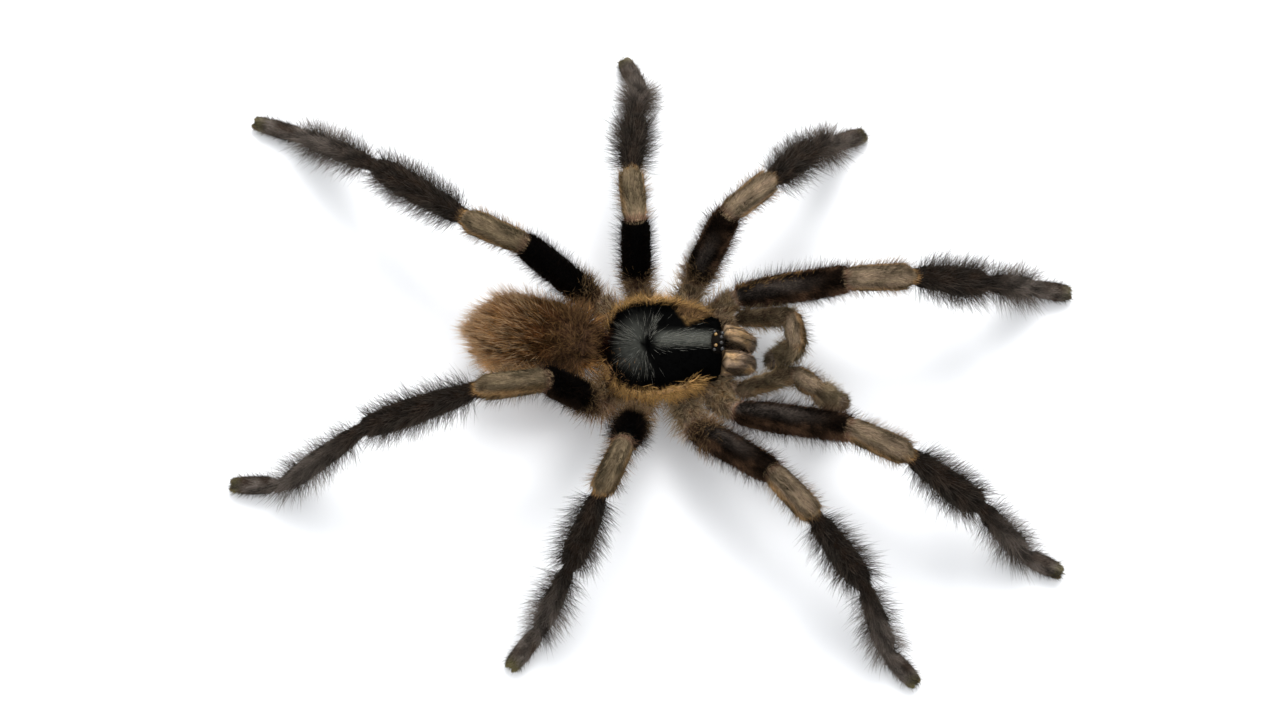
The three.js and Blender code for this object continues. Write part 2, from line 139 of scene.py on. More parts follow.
def middle_line(node, start, end, shares):
    """The line down the middle of a straight stretch, from cuts at two shares of the way."""
    way = unit(end - start)
    first, second = (cut(node, start + share * (end - start), way).mean(0) for share in shares)
    return first, unit(second - first)


def meeting(line_a, line_b):
    """Where two lines that nearly cross come closest."""
    (p, d), (q, e) = line_a, line_b
    across = np.cross(d, e)
    return p + d * (np.cross(q - p, e) @ across) / (across @ across)


def farthest(node, point):
    """The corner of a solid that is farthest from a point."""
    found = corners(node)
    return found[np.linalg.norm(found - point, axis=1).argmax()]


print("first left shin starts at",
      joint_between("leg1_left_patella", "leg1_left_tibia").round(1), "mm")


# %% [markdown]
# ## The joints of every limb
# A leg has seven segments: coxa, trochanter, femur, patella, tibia, metatarsus and tarsus.
# The solids join coxa with femur and metatarsus with tarsus. A coxa starts under the
# carapace, so its two ends are given here, as distances ahead of the carapace's middle and
# outwards from it, and height. The bend of a foot is where the middle lines of its two
# straight stretches meet.

# %% Joints of legs and palps
SIDES = {"left": 1, "right": -1}
HIPS = {"leg1": (12.4, 10.5, 8.0), "leg2": (5.0, 13.2, 8.0), "leg3": (-5.0, 11.9, 8.0),
        "leg4": (-12.0, 9.1, 8.0), "palp": (12.6, 6.7, 7.6)}
ROOTS = {"leg1": (4.6, 3.6, 6.9), "leg2": (1.8, 4.5, 6.9), "leg3": (-1.6, 4.4, 6.9),
         "leg4": (-4.9, 3.5, 6.9), "palp": (5.9, 2.6, 6.6)}
METATARSUS_CUTS, TARSUS_CUTS, LAST_CUTS = (0.15, 0.5), (0.8, 0.93), (0.35, 0.75)
low, high = (np.array(v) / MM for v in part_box("carapace"))
middle = (low + high) / 2


def place(ahead, outwards, height, side=1):
    """A point so far ahead of the carapace's middle, outwards from it and above the floor."""
    return np.array([middle[0] + side * outwards, middle[1] - ahead, height])


def limb_joints(name):
    """Joints of a limb from inside the body to the tip of its foot."""
    kind, side = name.split("_")
    last = "tarsus" if kind == "palp" else "foot"
    names = [f"{name}_{part}" for part in ("thigh", "patella", "tibia", last)]
    joints = [place(*ROOTS[kind], SIDES[side]), place(*HIPS[kind], SIDES[side])]
    joints += [joint_between(*pair) for pair in zip(names, names[1:])]
    toe = farthest(names[3], joints[-1])
    if kind != "palp":
        near = middle_line(names[3], joints[-1], toe, METATARSUS_CUTS)
        far = middle_line(names[3], joints[-1], toe, TARSUS_CUTS)
        joints.append(meeting(near, far))
    start, way = middle_line(names[3], joints[-1], toe, LAST_CUTS)
    joints.append(start + way * ((toe - start) @ way))
    return np.array(joints)


LEGS = [f"leg{number}_{side}" for number in (1, 2, 3, 4) for side in SIDES]
PALPS = [f"palp_{side}" for side in SIDES]
limbs = {name: limb_joints(name) for name in LEGS + PALPS}
for name, joints in limbs.items():
    print(name, "segments", np.linalg.norm(np.diff(joints, axis=0), axis=1).round(1), "mm")

# %% [markdown]
# ## Skin as sleeves
# Each limb is a sleeve: rings of points strung along a line that is rounded at the joints.
# A ring is as wide and as high as the solid, less the depth of the coat there, so that the
# hairs have room to stand. At a joint the hard plates give way to soft skin and the sleeve
# is a little narrower. Every ring remembers its segment and its share of the way along it,
# because colours and hairs are given out by those later on.

# %% A path with rounded corners
RING_STEP = 0.55
CORNER, CORNER_SHARE = 1.9, 0.45


def rounded_path(joints):
    """Points, directions, segment numbers and shares along a chain with rounded corners."""
    ways = unit(np.diff(joints, axis=0))
    lengths = np.linalg.norm(np.diff(joints, axis=0), axis=1)
    last = len(lengths) - 1
    rows = []
    for i, length in enumerate(lengths):
        window = [min(CORNER, CORNER_SHARE * length, CORNER_SHARE * lengths[beside])
                  for beside in (max(i - 1, 0), min(i + 1, last))]
        count = max(3, round(length / RING_STEP))
        for share in np.linspace(0, 1, count, endpoint=i == last):
            along = share * length
            point, way = joints[i] + along * ways[i], ways[i]
            for end, near in ((0, along), (1, length - along)):
                w, joint = window[end], i + end
                if near < w and 0 < joint <= last:
                    u = 0.5 + 0.5 * (near / w) * (1 if end == 0 else -1)
                    before, after = ways[joint - 1], ways[joint]
                    point = joints[joint] - (1 - u) ** 2 * before * w + u ** 2 * after * w
                    way = unit((1 - u) * before + u * after)
            rows.append((point, way, i, share))
    points, ways, number, share = zip(*rows)
    return np.array(points), np.array(ways), np.array(number), np.array(share)


def frames(ways):
    """Upward and sideways directions carried along a path without twisting."""
    up, ups = (0, 0, 1), []
    for way in ways:
        up = unit(up - np.dot(up, way) * way)
        ups.append(up)
    return np.array(ups), np.cross(ways, ups)


print("first left leg:", len(rounded_path(limbs["leg1_left"])[0]), "points")

# %% Sleeves of the limbs
RING_SIDES = 24
CUT_SHARES = (0.08, 0.2, 0.35, 0.5, 0.65, 0.8, 0.92)
HIP_SHARE = 0.45
MEMBRANE_REACH, MEMBRANE_DEPTH, ANKLE_DEPTH = 0.45, 0.12, 0.25
TOE_ROUND = 1.2
CHELICERA_BLUNT = 0.75
DEPTH = {"coxa": 0.5, "femur": 0.4, "patella": 0.25, "tibia": 0.8, "metatarsus": 0.85,
         "tarsus": 0.3, "palp_femur": 0.3, "palp_tibia": 0.4, "palp_tarsus": 0.3, "abdomen": 0.9,
         "spinneret": 0.2, "chelicera": 0.12, "sternum": 0.3}


def patch_of(name, rings, part, share):
    """A patch of skin: its rings, with the segment and the share of the way of each."""
    return {"name": name, "rings": rings, "part": np.full(len(share), part), "share": share}


def around(centres, ups, across, half_width, half_height, sides=RING_SIDES, blunt=1.0):
    """Oval rings about the points of a path; below 1, blunt makes them squarer."""
    angle = np.linspace(0, FULL_TURN, sides, endpoint=False)
    up, side = ((np.sign(v) * np.abs(v) ** blunt)[None, :, None]
                for v in (np.cos(angle), np.sin(angle)))
    return (centres[:, None] + up * (ups * half_height[:, None])[:, None]
            + side * (across * half_width[:, None])[:, None])


def rounding(distance, radius):
    """How much of its radius a round end has at a distance from its tip."""
    return np.sqrt(np.clip(1 - (1 - np.clip(distance / radius, 0, 1)) ** 2, 0.0004, 1))


def thickness(node, point, way, up, across, reach=CUT_REACH):
    """Half the width and height of a solid's cut, and how far its middle lies aside of and
    above the point; nothing where the plane hardly meets the solid."""
    outline = cut(node, point, way, reach) - point
    if len(outline) < 6:
        return None
    height, width = outline @ up, outline @ across
    half_width, half_height = np.ptp(width) / 2, np.ptp(height) / 2
    return half_width, half_height, half_width + width.min(), half_height + height.min()


def sleeve(name, joints, parts, nodes, first_cut, tip=TOE_ROUND, blunt=1.0):
    """A sleeve of skin inside the solids, along a chain of joints."""
    points, ways, number, share = rounded_path(joints)
    ups, across = frames(ways)
    run = np.concatenate([[0], np.cumsum(np.linalg.norm(np.diff(points, axis=0), axis=1))])
    measured = []
    for i, node in enumerate(nodes):
        mine = np.flatnonzero(number == i)
        for wanted in CUT_SHARES:
            k = mine[np.abs(share[mine] - wanted).argmin()]
            found = thickness(node, points[k], ways[k], ups[k], across[k])
            if found and (i > 0 or wanted >= first_cut):
                measured.append((run[k], *found, DEPTH[parts[i]]))
    known, *rows = np.array(measured).T
    half_width, half_height, aside, raised, depth = (np.interp(run, known, row) for row in rows)
    narrow = np.ones(len(run))
    for i in range(1, len(nodes)):
        joint = run[np.flatnonzero(number == i)[0]]
        soft = ANKLE_DEPTH if parts[i] == "metatarsus" else MEMBRANE_DEPTH
        narrow -= soft * np.exp(-((run - joint) / MEMBRANE_REACH) ** 2)
    scale = narrow * rounding(run[-1] - run, tip)
    centres = points + across * aside[:, None] + ups * raised[:, None]
    rings = around(centres, ups, across, (half_width - depth) * scale,
                   (half_height - depth) * scale, RING_SIDES, blunt)
    return patch_of(name, rings, np.array(parts)[number], share)


LEG = {"thigh": ("coxa", "femur"), "patella": ("patella",), "tibia": ("tibia",),
       "foot": ("metatarsus", "tarsus")}
PALP = {"thigh": ("coxa", "palp_femur"), "patella": ("patella",), "tibia": ("palp_tibia",),
        "tarsus": ("palp_tarsus",)}
patches = []
for name, joints in limbs.items():
    make = LEG if name in LEGS else PALP
    segments = [(f"{name}_{solid}", part) for solid in make for part in make[solid]]
    nodes, parts = zip(*segments)
    patches.append(sleeve(name, joints, parts, nodes, HIP_SHARE))
print(len(patches), "limb sleeves of", sum(len(p["rings"]) for p in patches), "rings")

# %% [markdown]
# ## Skin of the trunk
# The front half of a spider is roofed by the carapace, a low domed shield. Its head end is
# raised, and a short crosswise pit, the fovea, marks where the sucking stomach's muscles
# hold on; shallow furrows run out from it. The rear half, the abdomen, is a soft bag on a
# thin stalk. Two stout chelicerae hang in front, each with a fang folded below. The shield
# is drawn from a short table of widths and heights, because its pit and furrows are finer
# than its solid; the softer parts are measured from their solids, as the limbs are.

# %% The carapace
SHIELD = np.array([(-10.25, 3.2, 10.9), (-9.6, 5.6, 11.6), (-8.0, 7.4, 12.5), (-5.6, 8.4, 13.2),
                   (-3.4, 8.75, 13.3), (-0.6, 8.75, 13.7), (2.4, 8.2, 14.2), (5.2, 7.1, 14.5),
                   (7.6, 6.1, 14.5), (9.3, 5.6, 14.0), (10.25, 4.9, 12.9)])
SHIELD_EDGE = 9.95
SHIELD_COAT, FRINGE, HEAD_FRINGE = 0.25, 0.5, 0.3
SHIELD_STEP, SHIELD_SIDES = 0.33, 64
FOVEA = -3.4
PIT_DEPTH, FURROW_DEPTH = 1.0, 0.1
FURROWS = (0.62, 1.35, 2.0, 2.65)


def shield_height(ahead, across, crown):
    """Drops the dome at the fovea and along the furrows that run out from it."""
    forward = ahead - FOVEA
    pit = PIT_DEPTH * np.exp(-(forward / 0.5) ** 2 - (across / 1.5) ** 2)
    reach = np.hypot(forward, across)
    bearing = np.arctan2(np.abs(across), forward)
    furrow = 0.0
    for turn in FURROWS:
        furrow = furrow + np.exp(-((bearing - turn) * reach / 0.55) ** 2)
    near, far = np.clip((reach - 1) / 2, 0, 1), np.clip((8.5 - reach) / 3, 0, 1)
    return crown - pit - FURROW_DEPTH * furrow * near * far


def carapace_patch():
    """The dome of the carapace, nearly flat below."""
    stations, halves, tops = SHIELD.T
    aheads = np.arange(stations[0] + FRINGE * 0.6, stations[-1] - 0.25, SHIELD_STEP)
    half = (np.interp(aheads, stations, halves)
            - np.interp(aheads, (3, 6), (FRINGE, HEAD_FRINGE)))
    ends = np.minimum(rounding(aheads - aheads[0], 3.2), rounding(aheads[-1] - aheads, 1.0))
    half = np.maximum(half * (0.35 + 0.65 * ends), 0.8)
    crowns = np.interp(aheads, stations, tops) - SHIELD_COAT
    crowns = SHIELD_EDGE + (crowns - SHIELD_EDGE) * (0.25 + 0.75 * ends)
    angle = np.linspace(0, FULL_TURN, SHIELD_SIDES, endpoint=False)
    rings = []
    for ahead, width, crown in zip(aheads, half, crowns):
        across = np.sin(angle) * width
        dome = SHIELD_EDGE + (crown - SHIELD_EDGE) * np.abs(np.cos(angle)) ** 0.85
        keel = SHIELD_EDGE - 0.3 * np.clip(-np.cos(angle), 0, 1)
        height = np.where(np.cos(angle) > 0, shield_height(ahead, across, dome), keel)
        rings.append(np.stack([middle[0] - across, middle[1] - ahead + 0 * across, height], 1))
    share = (aheads - aheads[0]) / (aheads[-1] - aheads[0])
    return patch_of("carapace", np.array(rings), "carapace", share)


patches.append(carapace_patch())
print("carapace of", len(patches[-1]["rings"]), "rings")

# %% Eggs and straight sleeves
TRUNK_REACH = 9.5
LEAST_HALF = 0.1
ABDOMEN_SIDES = 36
EGG_END = 0.02


def box_of(node):
    """Lower and upper corner of a solid, in millimetres."""
    return np.array([solids[node].min((0, 1)), solids[node].max((0, 1))])


def egg(name, part, centre, half, count=20):
    """An egg about a middle, from its rear end to its head end."""
    turn = np.linspace(EGG_END, math.pi - EGG_END, count)
    angle = np.linspace(0, FULL_TURN, RING_SIDES, endpoint=False)
    rings = np.stack([-np.sin(turn)[:, None] * np.sin(angle), np.cos(turn)[:, None] + 0 * angle,
                      np.sin(turn)[:, None] * np.cos(angle)], 2) * half + centre
    return patch_of(name, rings, part, np.linspace(0, 1, count))


def mound_patch():
    """The low eye mound, an egg lying across the head and sunk into it."""
    (x0, y0, _), (x1, y1, top) = box_of("eye_mound")
    sunk, coat_depth = 1.5, 0.06
    centre = np.array([(x0 + x1) / 2, (y0 + y1) / 2, top - sunk])
    half = np.array([(x1 - x0) / 2, (y1 - y0) / 2, sunk]) - coat_depth
    return egg("mound", "mound", centre, half)


def straight(name, part, start, end, tip, start_tip=0.0, shares=(0.02, 0.98)):
    """A sleeve along one straight line inside the solid of the same name."""
    length = np.linalg.norm(end - start)
    way = unit(end - start)
    share = np.linspace(0, 1, max(8, round(length / RING_STEP)))
    points = start + share[:, None] * (end - start)
    ups, across = frames(np.repeat(way[None], len(points), 0))
    measured = []
    for k in np.flatnonzero((share > shares[0]) & (share < shares[1])):
        found = thickness(name, points[k], way, ups[k], across[k], TRUNK_REACH)
        if found:
            measured.append((share[k], *found))
    known, *rows = np.array(measured).T
    half_width, half_height, aside, raised = (np.interp(share, known, row) for row in rows)
    scale = rounding((1 - share) * length, tip)
    if start_tip:
        scale = scale * rounding(share * length, start_tip)
    centres = points + across * aside[:, None] + ups * raised[:, None]
    rings = around(centres, ups, across, np.maximum(half_width - DEPTH[part], LEAST_HALF) * scale,
                   np.maximum(half_height - DEPTH[part], LEAST_HALF) * scale,
                   ABDOMEN_SIDES if part == "abdomen" else RING_SIDES)
    return patch_of(name, rings, part, share)


patches.append(mound_patch())
patches.append(egg("core", "sternum", place(0.4, 0.0, 8.0), np.array([5.0, 7.4, 2.3])))
print("mound and core:", [len(patch["rings"]) for patch in patches[-2:]], "rings")

# %% Sleeves of the trunk
waist = place(-9.0, 0.3, 8.0)
rear = farthest("abdomen", waist)
abdomen_front = place(-10.9, 0.5, rear[2])
abdomen_way = unit(rear - abdomen_front)
patches.append(straight("abdomen", "abdomen", abdomen_front + abdomen_way * 0.2,
                        rear - abdomen_way * DEPTH["abdomen"], 5.0, 1.2))
front, back = box_of("sternum")[:, 1]
patches.append(straight("sternum", "sternum", np.array([middle[0], back - 0.3, 7.6]),
                        np.array([middle[0], front + 0.3, 7.6]), 1.5, 1.5))
STALK_RADIUS = 1.2
stalk = np.array([place(-6.5, 0.0, 8.6), place(-9.5, 0.2, 8.1), place(-14.0, 0.9, 8.4)])
points, ways, number, share = rounded_path(stalk)
size = np.full(len(points), STALK_RADIUS)
patches.append(patch_of("pedicel", around(points, *frames(ways), size, size * 0.9), "pedicel",
                        share))
for side, sign in SIDES.items():
    hung = np.array([place(9.7, 2.4, 10.3, sign), place(13.1, 2.05, 9.1, sign),
                     place(14.0, 1.8, 6.6, sign), place(13.95, 1.75, 4.75, sign)])
    node = f"chelicera_{side}"
    patches.append(sleeve(node, hung, ("chelicera",) * 3, (node,) * 3, 0.5, 1.0,
                          CHELICERA_BLUNT))
    node = f"spinneret_{side}"
    tip = farthest(node, waist)
    way = unit(place(-23.0, 2.2, 3.1, sign) - place(-18.6, 1.5, 4.8, sign))
    patches.append(straight(node, "spinneret", tip - way * 9, tip - way * 0.2, 0.8,
                            shares=(0.5, 0.98)))
for patch in patches:
    size = np.ptp(patch["rings"].reshape(-1, 3), axis=0).round(1)
    print(patch["name"], "spans", size, "mm")

# %% [markdown]
# ## Claw tufts
# The tip of every walking foot carries two soft pads of hair side by side, with which the
# spider holds on to smooth ground. They are two small eggs beside the end of the tarsus.

# %% Pads at the tips of the feet
PAD_HALF = np.array([0.58, 0.9, 0.5])
PAD_APART, PAD_BACK, PAD_CLEAR = 0.66, 0.8, 0.25


def turned(patch, centre, way):
    """The same patch with its rear-to-head line turned along a direction."""
    up, across = (v[0] for v in frames(unit(way)[None]))
    local = patch["rings"] - centre
    patch["rings"] = centre + (local[..., :1] * across - local[..., 1:2] * unit(way)
                               + local[..., 2:] * up)
    return patch


for name in LEGS:
    bend, toe = limbs[name][-2:]
    way = unit(toe - bend)
    across = unit(np.cross(way, (0, 0, 1)))
    for sign in (-1, 1):
        centre = toe - way * PAD_BACK + across * sign * PAD_APART
        centre[2] = max(centre[2], PAD_HALF[2] + PAD_CLEAR)
        pad = egg(f"pad_{name}_{sign}", "pad", centre, PAD_HALF, 9)
        patches.append(turned(pad, centre, way))
print(2 * len(LEGS), "pads,", len(patches), "patches")

# %% [markdown]
# ## One skin
# The sleeves cross one another inside the body. Each is closed with caps and they are joined
# by solid union, so that what is left is a single closed skin with no seam at the hips. A
# remesh would join them too, but it would blur the narrow joints.

# %% Close the sleeves and join them
def closed_mesh(name, rings):
    """A closed mesh from rings, with a fan at each end."""
    count, sides = rings.shape[:2]
    verts = np.concatenate([rings.reshape(-1, 3), rings[0].mean(0)[None], rings[-1].mean(0)[None]])
    i, j = np.meshgrid(np.arange(count - 1), np.arange(sides), indexing="ij")
    k = (j + 1) % sides
    quads = np.stack([i * sides + j, i * sides + k, (i + 1) * sides + k, (i + 1) * sides + j], 2)
    j = np.arange(sides)
    k = (j + 1) % sides
    first, last = count * sides, count * sides + 1
    start = np.stack([k, j, np.full(sides, first)], 1)
    end = np.stack([(count - 1) * sides + j, (count - 1) * sides + k, np.full(sides, last)], 1)
    faces = quads.reshape(-1, 4).tolist() + start.tolist() + end.tolist()
    mesh = bpy.data.meshes.new(name)
    mesh.from_pydata((verts * MM).tolist(), [], faces)
    return mesh


def outward(mesh):
    """Turns a closed mesh the right way out."""
    a, b, c = mesh_triangles(mesh).transpose(1, 0, 2)
    if (np.cross(a, b) * c).sum() < 0:
        mesh.flip_normals()
    return mesh


def add_piece(name, mesh):
    """An object for a mesh, linked to the scene."""
    piece = bpy.data.objects.new(name, mesh)
    bpy.context.scene.collection.objects.link(piece)
    return piece


sleeves = {}
for patch in patches:
    name = patch["name"]
    sleeves[name] = add_piece("sleeve_" + name, outward(closed_mesh(name, patch["rings"])))
body = sleeves["carapace"]
for other in sleeves.values():
    if other is not body:
        join = body.modifiers.new("join " + other.name, "BOOLEAN")
        join.operation, join.solver, join.object = "UNION", "MANIFOLD", other
joined = body.evaluated_get(bpy.context.evaluated_depsgraph_get())
skin_mesh = bpy.data.meshes.new_from_object(joined)
skin_mesh.name = "skin"
for other in sleeves.values():
    bpy.data.objects.remove(other)
skin = add_piece("skin", skin_mesh)
print("skin:", len(skin_mesh.vertices), "corners", len(skin_mesh.polygons), "faces")

# %% [markdown]
# ## Colours of the coat
# Spider hair has no fur pigments; its browns, ochres and greys come from the hair wall, and
# each kind of segment has its own. The femora are black velvet, the patellae olive brown with
# two pale bare lines, the shins dark with paler bristle tips. A painted picture would need
# an unwrapped skin, and the hairs could not use it. So each rule below gives the colour of a
# place from its share of the way along the segment and its angle about it, where 0 is
# straight up. Skin and hairs both ask these rules, so their markings agree.

# %% Tones
def tint(code):
    """A colour written as #rrggbb, in the linear light that the renderer works with."""
    value = np.array([int(code[i:i + 2], 16) for i in (1, 3, 5)]) / 255
    return np.where(value <= 0.04045, value / 12.92, ((value + 0.055) / 1.055) ** 2.4)


TONE = {name: tint(code) for name, code in {
    "jet": "#020202", "velvet": "#040404", "soot": "#1d1814", "bark": "#35271d",
    "umber": "#5b4433", "olive": "#7b6a54", "moss": "#9a866b", "straw": "#b9a67f",
    "ochre": "#a37d50", "gold": "#f0bd76", "rust": "#6b3f20", "ginger": "#b0763f",
    "sand": "#dfb886", "tan": "#d9bd94", "membrane": "#a38c79", "shin": "#2e261f",
    "foot": "#766c64", "pad": "#7b7648", "silk": "#9d9b8e", "maroon": "#2a170f",
    # The grey of the carapace's fan and band is partly hair colour and partly painted sheen.
    "plum_shadow": "#150c09", "slate_sheen": "#62635c", "fox": "#e0a664", "ash": "#7a7066",
    "rose": "#8f6e5a"}.items()}


def wave(points, size, seed):
    """Smooth noise from 0 to 1 with blotches about as wide as size, in millimetres."""
    dice = np.random.default_rng(seed)
    total = np.zeros(len(points))
    for _ in range(7):
        way = unit(dice.normal(size=3)) * FULL_TURN / (size * dice.uniform(1.3, 2.8))
        total += np.sin(points @ way + dice.uniform(0, FULL_TURN))
    return np.clip(0.5 + total / 6, 0, 1)


def ramp(value, start, end):
    """Rises smoothly from 0 at start to 1 at end."""
    x = np.clip((value - start) / (end - start), 0, 1)
    return x * x * (3 - 2 * x)


def painted(base, *layers):
    """A tone with others laid over it in turn, each by weights from 0 to 1."""
    tone = TONE[base] if isinstance(base, str) else base
    for over, weight in layers:
        over = TONE[over] if isinstance(over, str) else over
        tone = tone + (over - tone) * np.asarray(weight)[:, None]
    return tone


class Spots:
    """What a rule may ask of many places: share of the way along the segment, angle about it,
    how far that is off the top, how low (0 above, 1 below) and how far out on the flank they
    lie, and their distances ahead of and to the left of the carapace's middle."""

    def __init__(self, share, angle, at):
        self.share, self.angle, self.at = share, angle, at
        self.off_top = np.abs((angle + math.pi) % FULL_TURN - math.pi)
        self.low = (1 - np.cos(angle)) / 2
        self.flank = np.abs(np.sin(angle))
        self.ahead = middle[1] - at[:, 1]
        self.aside = at[:, 0] - middle[0]


print("gold in linear light:", TONE["gold"].round(3))

# %% Marking rules of the limbs
LINE_ANGLE = 0.42


def front_legs(p):
    """1 on the two front pairs, which are paler than the others."""
    return ramp(p.ahead, 4.0, 6.5)


def coxa_tone(p):
    """Ochre and rosy wool, rusty towards the rear, with a bare rim at the outer end."""
    return painted("olive", ("ochre", 0.7 * ramp(wave(p.at, 1.2, 1), 0.4, 0.8)),
                   ("bark", ramp(p.low, 0.5, 0.95)), ("rust", 0.4 * ramp(p.ahead, 0, -8)),
                   ("rose", 0.6 * ramp(wave(p.at, 1.5, 24), 0.4, 0.7)),
                   ("membrane", ramp(p.share, 0.9, 0.94)))


def femur_tone(p):
    """Black velvet with a brown lower flank, and on the front legs grey painted sheen along the
    top.
    """
    front = front_legs(p)
    flank = ramp(p.low + 0.2 * wave(p.at, 1.5, 2) + 0.35 * front, 0.5, 0.78)
    # Grey painted sheen along the top of the front femora, fading towards the knee.
    top_sheen = ramp(p.off_top, 0.8, 0.1) * ramp(p.share, 0.9, 0.4)
    base = ramp(p.share + 0.08 * wave(p.at, 1.0, 15), 0.32, 0.16) * ramp(p.ahead, 12, 9)
    return painted("velvet", ("bark", np.maximum(flank, 0.4 * front)), ("umber", flank * front),
                   ("foot", 0.45 * front * top_sheen), ("umber", base),
                   ("rose", ramp(p.share, 0.975, 0.985) + ramp(p.share, 0.03, 0.015)))


def patella_tone(p):
    """Olive brown with two pale lines on top, ochre flanks and a rosy knee."""
    line = (ramp(np.abs(p.off_top - LINE_ANGLE), 0.16, 0.05) * ramp(p.share, 0.04, 0.15)
            * ramp(p.share, 0.95, 0.8))
    return painted("olive", ("bark", 0.55 * ramp(p.low, 0.25, 0.75)),
                   ("moss", 0.5 * wave(p.at, 2.2, 3)),
                   ("membrane", 0.4 * front_legs(p) * ramp(p.low, 0.6, 0.2)),
                   ("straw", 0.3 * line),
                   ("ochre", 0.7 * ramp(p.flank, 0.75, 0.97) * ramp(p.low, 0.75, 0.5)),
                   ("ochre", 0.6 * ramp(p.share, 0.88, 0.97) * p.flank),
                   ("rose", 0.7 * ramp(p.share, 0.05, 0.03)))


def shin_tone(p):
    """Dark brown, blackest on top."""
    return painted("shin", ("velvet", ramp(p.low, 0.8, 0.3) * 0.6),
                   ("bark", 0.7 * wave(p.at, 1.5, 4)))


def tibia_tone(p):
    """A shin with the patella's olive cap at its upper end, edged with ochre."""
    cap = 0.075 * np.clip(np.cos(p.angle), 0, 1) ** 0.6
    return painted(shin_tone(p), ("ochre", ramp(p.share, cap, cap - 0.01)),
                   ("olive", ramp(p.share, cap - 0.025, cap - 0.04)))


def metatarsus_tone(p):
    """A shin that turns grey towards the foot."""
    return painted(shin_tone(p), ("foot", 0.75 * ramp(p.share, 0.0, 0.8)))


def foot_tone(p):
    """Grey with brown blotches, greenish at the pads."""
    return painted("foot", ("bark", 0.9 * wave(p.at, 1.6, 5)),
                   ("pad", ramp(p.share, 0.6, 1.0) * 0.6))


def palp_tone(p):
    """Brown on top and olive below, with ochre patches on the flanks."""
    return painted("bark", ("olive", ramp(p.low + 0.25 * wave(p.at, 1.2, 16), 0.1, 0.5)),
                   ("ochre", 0.5 * ramp(p.flank, 0.6, 1.0) * wave(p.at, 1.4, 23)))


def plain(a, b, seed):
    """A rule that only wavers between two tones."""
    return lambda p: painted(a, (b, wave(p.at, 1.5, seed)))


# %% Marking rules of the trunk
BAND_ASIDE = 0.7
WEDGE_AHEAD, WEDGE_ASIDE = 3.7, 2.5


def stalk_shadow(p):
    """1 in the painted shadow in the middle of the carapace's rear edge, over the stalk."""
    return ramp(np.abs(p.aside), 2.2, 1.0) * ramp(p.ahead, -8.4, -9.4)


def on_shoulder(p):
    """1 on the wedge beside the head, on the left, where wool lies over the shield."""
    out = p.aside - WEDGE_ASIDE - 1.2 * wave(p.at, 1.2, 26)
    behind_edge = ramp(p.ahead - WEDGE_AHEAD + 0.77 * out, -0.4, 1.2)
    return behind_edge * ramp(WEDGE_AHEAD + 1.25 * out - p.ahead, -0.4, 1.0)


def from_fovea(p):
    """Distance ahead of the fovea, distance from it, and bearing about it, 0 ahead."""
    forward = p.ahead - FOVEA
    return forward, np.hypot(forward, p.aside), np.arctan2(p.aside, forward)


def carapace_tone(p):
    """Black with a grey fan behind the fovea and a grey band before it, partly the grey of silky
    hairs and partly painted sheen; woolly at the edge.
    """
    forward, reach, bearing = from_fovea(p)
    # Fan and band: the grey of the silky hairs, with painted sheen laid into it.
    behind = ramp(np.abs(bearing), 1.1, 2.2) * ramp(reach, 0.5, 1.2) * ramp(reach, 6.5, 3.0)
    band = ramp(np.abs(p.aside - BAND_ASIDE), 1.9, 0.1) * ramp(forward, 0.8, 3.5)
    shoulder = on_shoulder(p)
    edge = np.maximum(ramp(p.flank, 0.88, 0.96) * ramp(p.ahead, 6.0, 3.5), shoulder)
    wool = painted("umber", ("gold", wave(p.at, 0.9, 25) * (1 - 0.85 * shoulder)))
    # The jet over the stalk at the rear edge is painted shadow.
    return painted("jet", ("slate_sheen", np.clip(0.4 * behind + band, 0, 1)), (wool, edge),
                   ("jet", stalk_shadow(p)))


def abdomen_tone(p):
    """Dark reddish brown, duller in front, with foxy painted light on the flanks, which the light
    from above reaches less.
    """
    return painted("maroon", ("rust", 0.45 * wave(p.at, 1.4, 7)),
                   ("umber", 0.8 * ramp(p.share, 0.42, 0.2)),
                   ("ginger", 0.2 * ramp(p.share, 0.4, 0.95)),
                   # The foxy flank is painted light, where the light from above falls short.
                   ("fox", 0.7 * ramp(p.low, 0.2, 0.45)), ("rust", 0.6 * ramp(p.low, 0.6, 0.8)))


def chelicera_tone(p):
    """Tan with dark streaks, a black wedge of painted shade between the bases and a sooty lower
    end.
    """
    streak = 0.5 + 0.5 * np.sin(p.at[:, 0] * 4.6 + 1.6 * wave(p.at, 2.5, 8) + 0.6)
    # The black wedge where the two bases meet is painted shade.
    wedge = ramp(np.abs(p.aside - 0.4) + 0.25 * (p.ahead - 10.0), 1.4, 0.8)
    return painted("sand", ("membrane", wave(p.at, 1.6, 9)),
                   ("bark", 0.9 * ramp(streak, 0.6, 0.9)), ("jet", wedge),
                   ("soot", 0.8 * ramp(p.at[:, 2], 7.5, 5.0)))


MARKING = {"coxa": coxa_tone, "femur": femur_tone, "patella": patella_tone, "tibia": tibia_tone,
           "metatarsus": metatarsus_tone, "tarsus": foot_tone, "pad": plain("pad", "olive", 10),
           "carapace": carapace_tone, "mound": plain("velvet", "soot", 11),
           # The stalk is maroon, darkened towards black as painted shadow in the gap between
           # carapace and abdomen.
           "abdomen": abdomen_tone, "pedicel": plain("maroon", "plum_shadow", 12),
           "sternum": plain("bark", "soot", 13), "spinneret": plain("umber", "bark", 14),
           "palp_femur": palp_tone, "palp_tibia": plain("moss", "olive", 17),
           "palp_tarsus": plain("umber", "foot", 18), "chelicera": chelicera_tone}


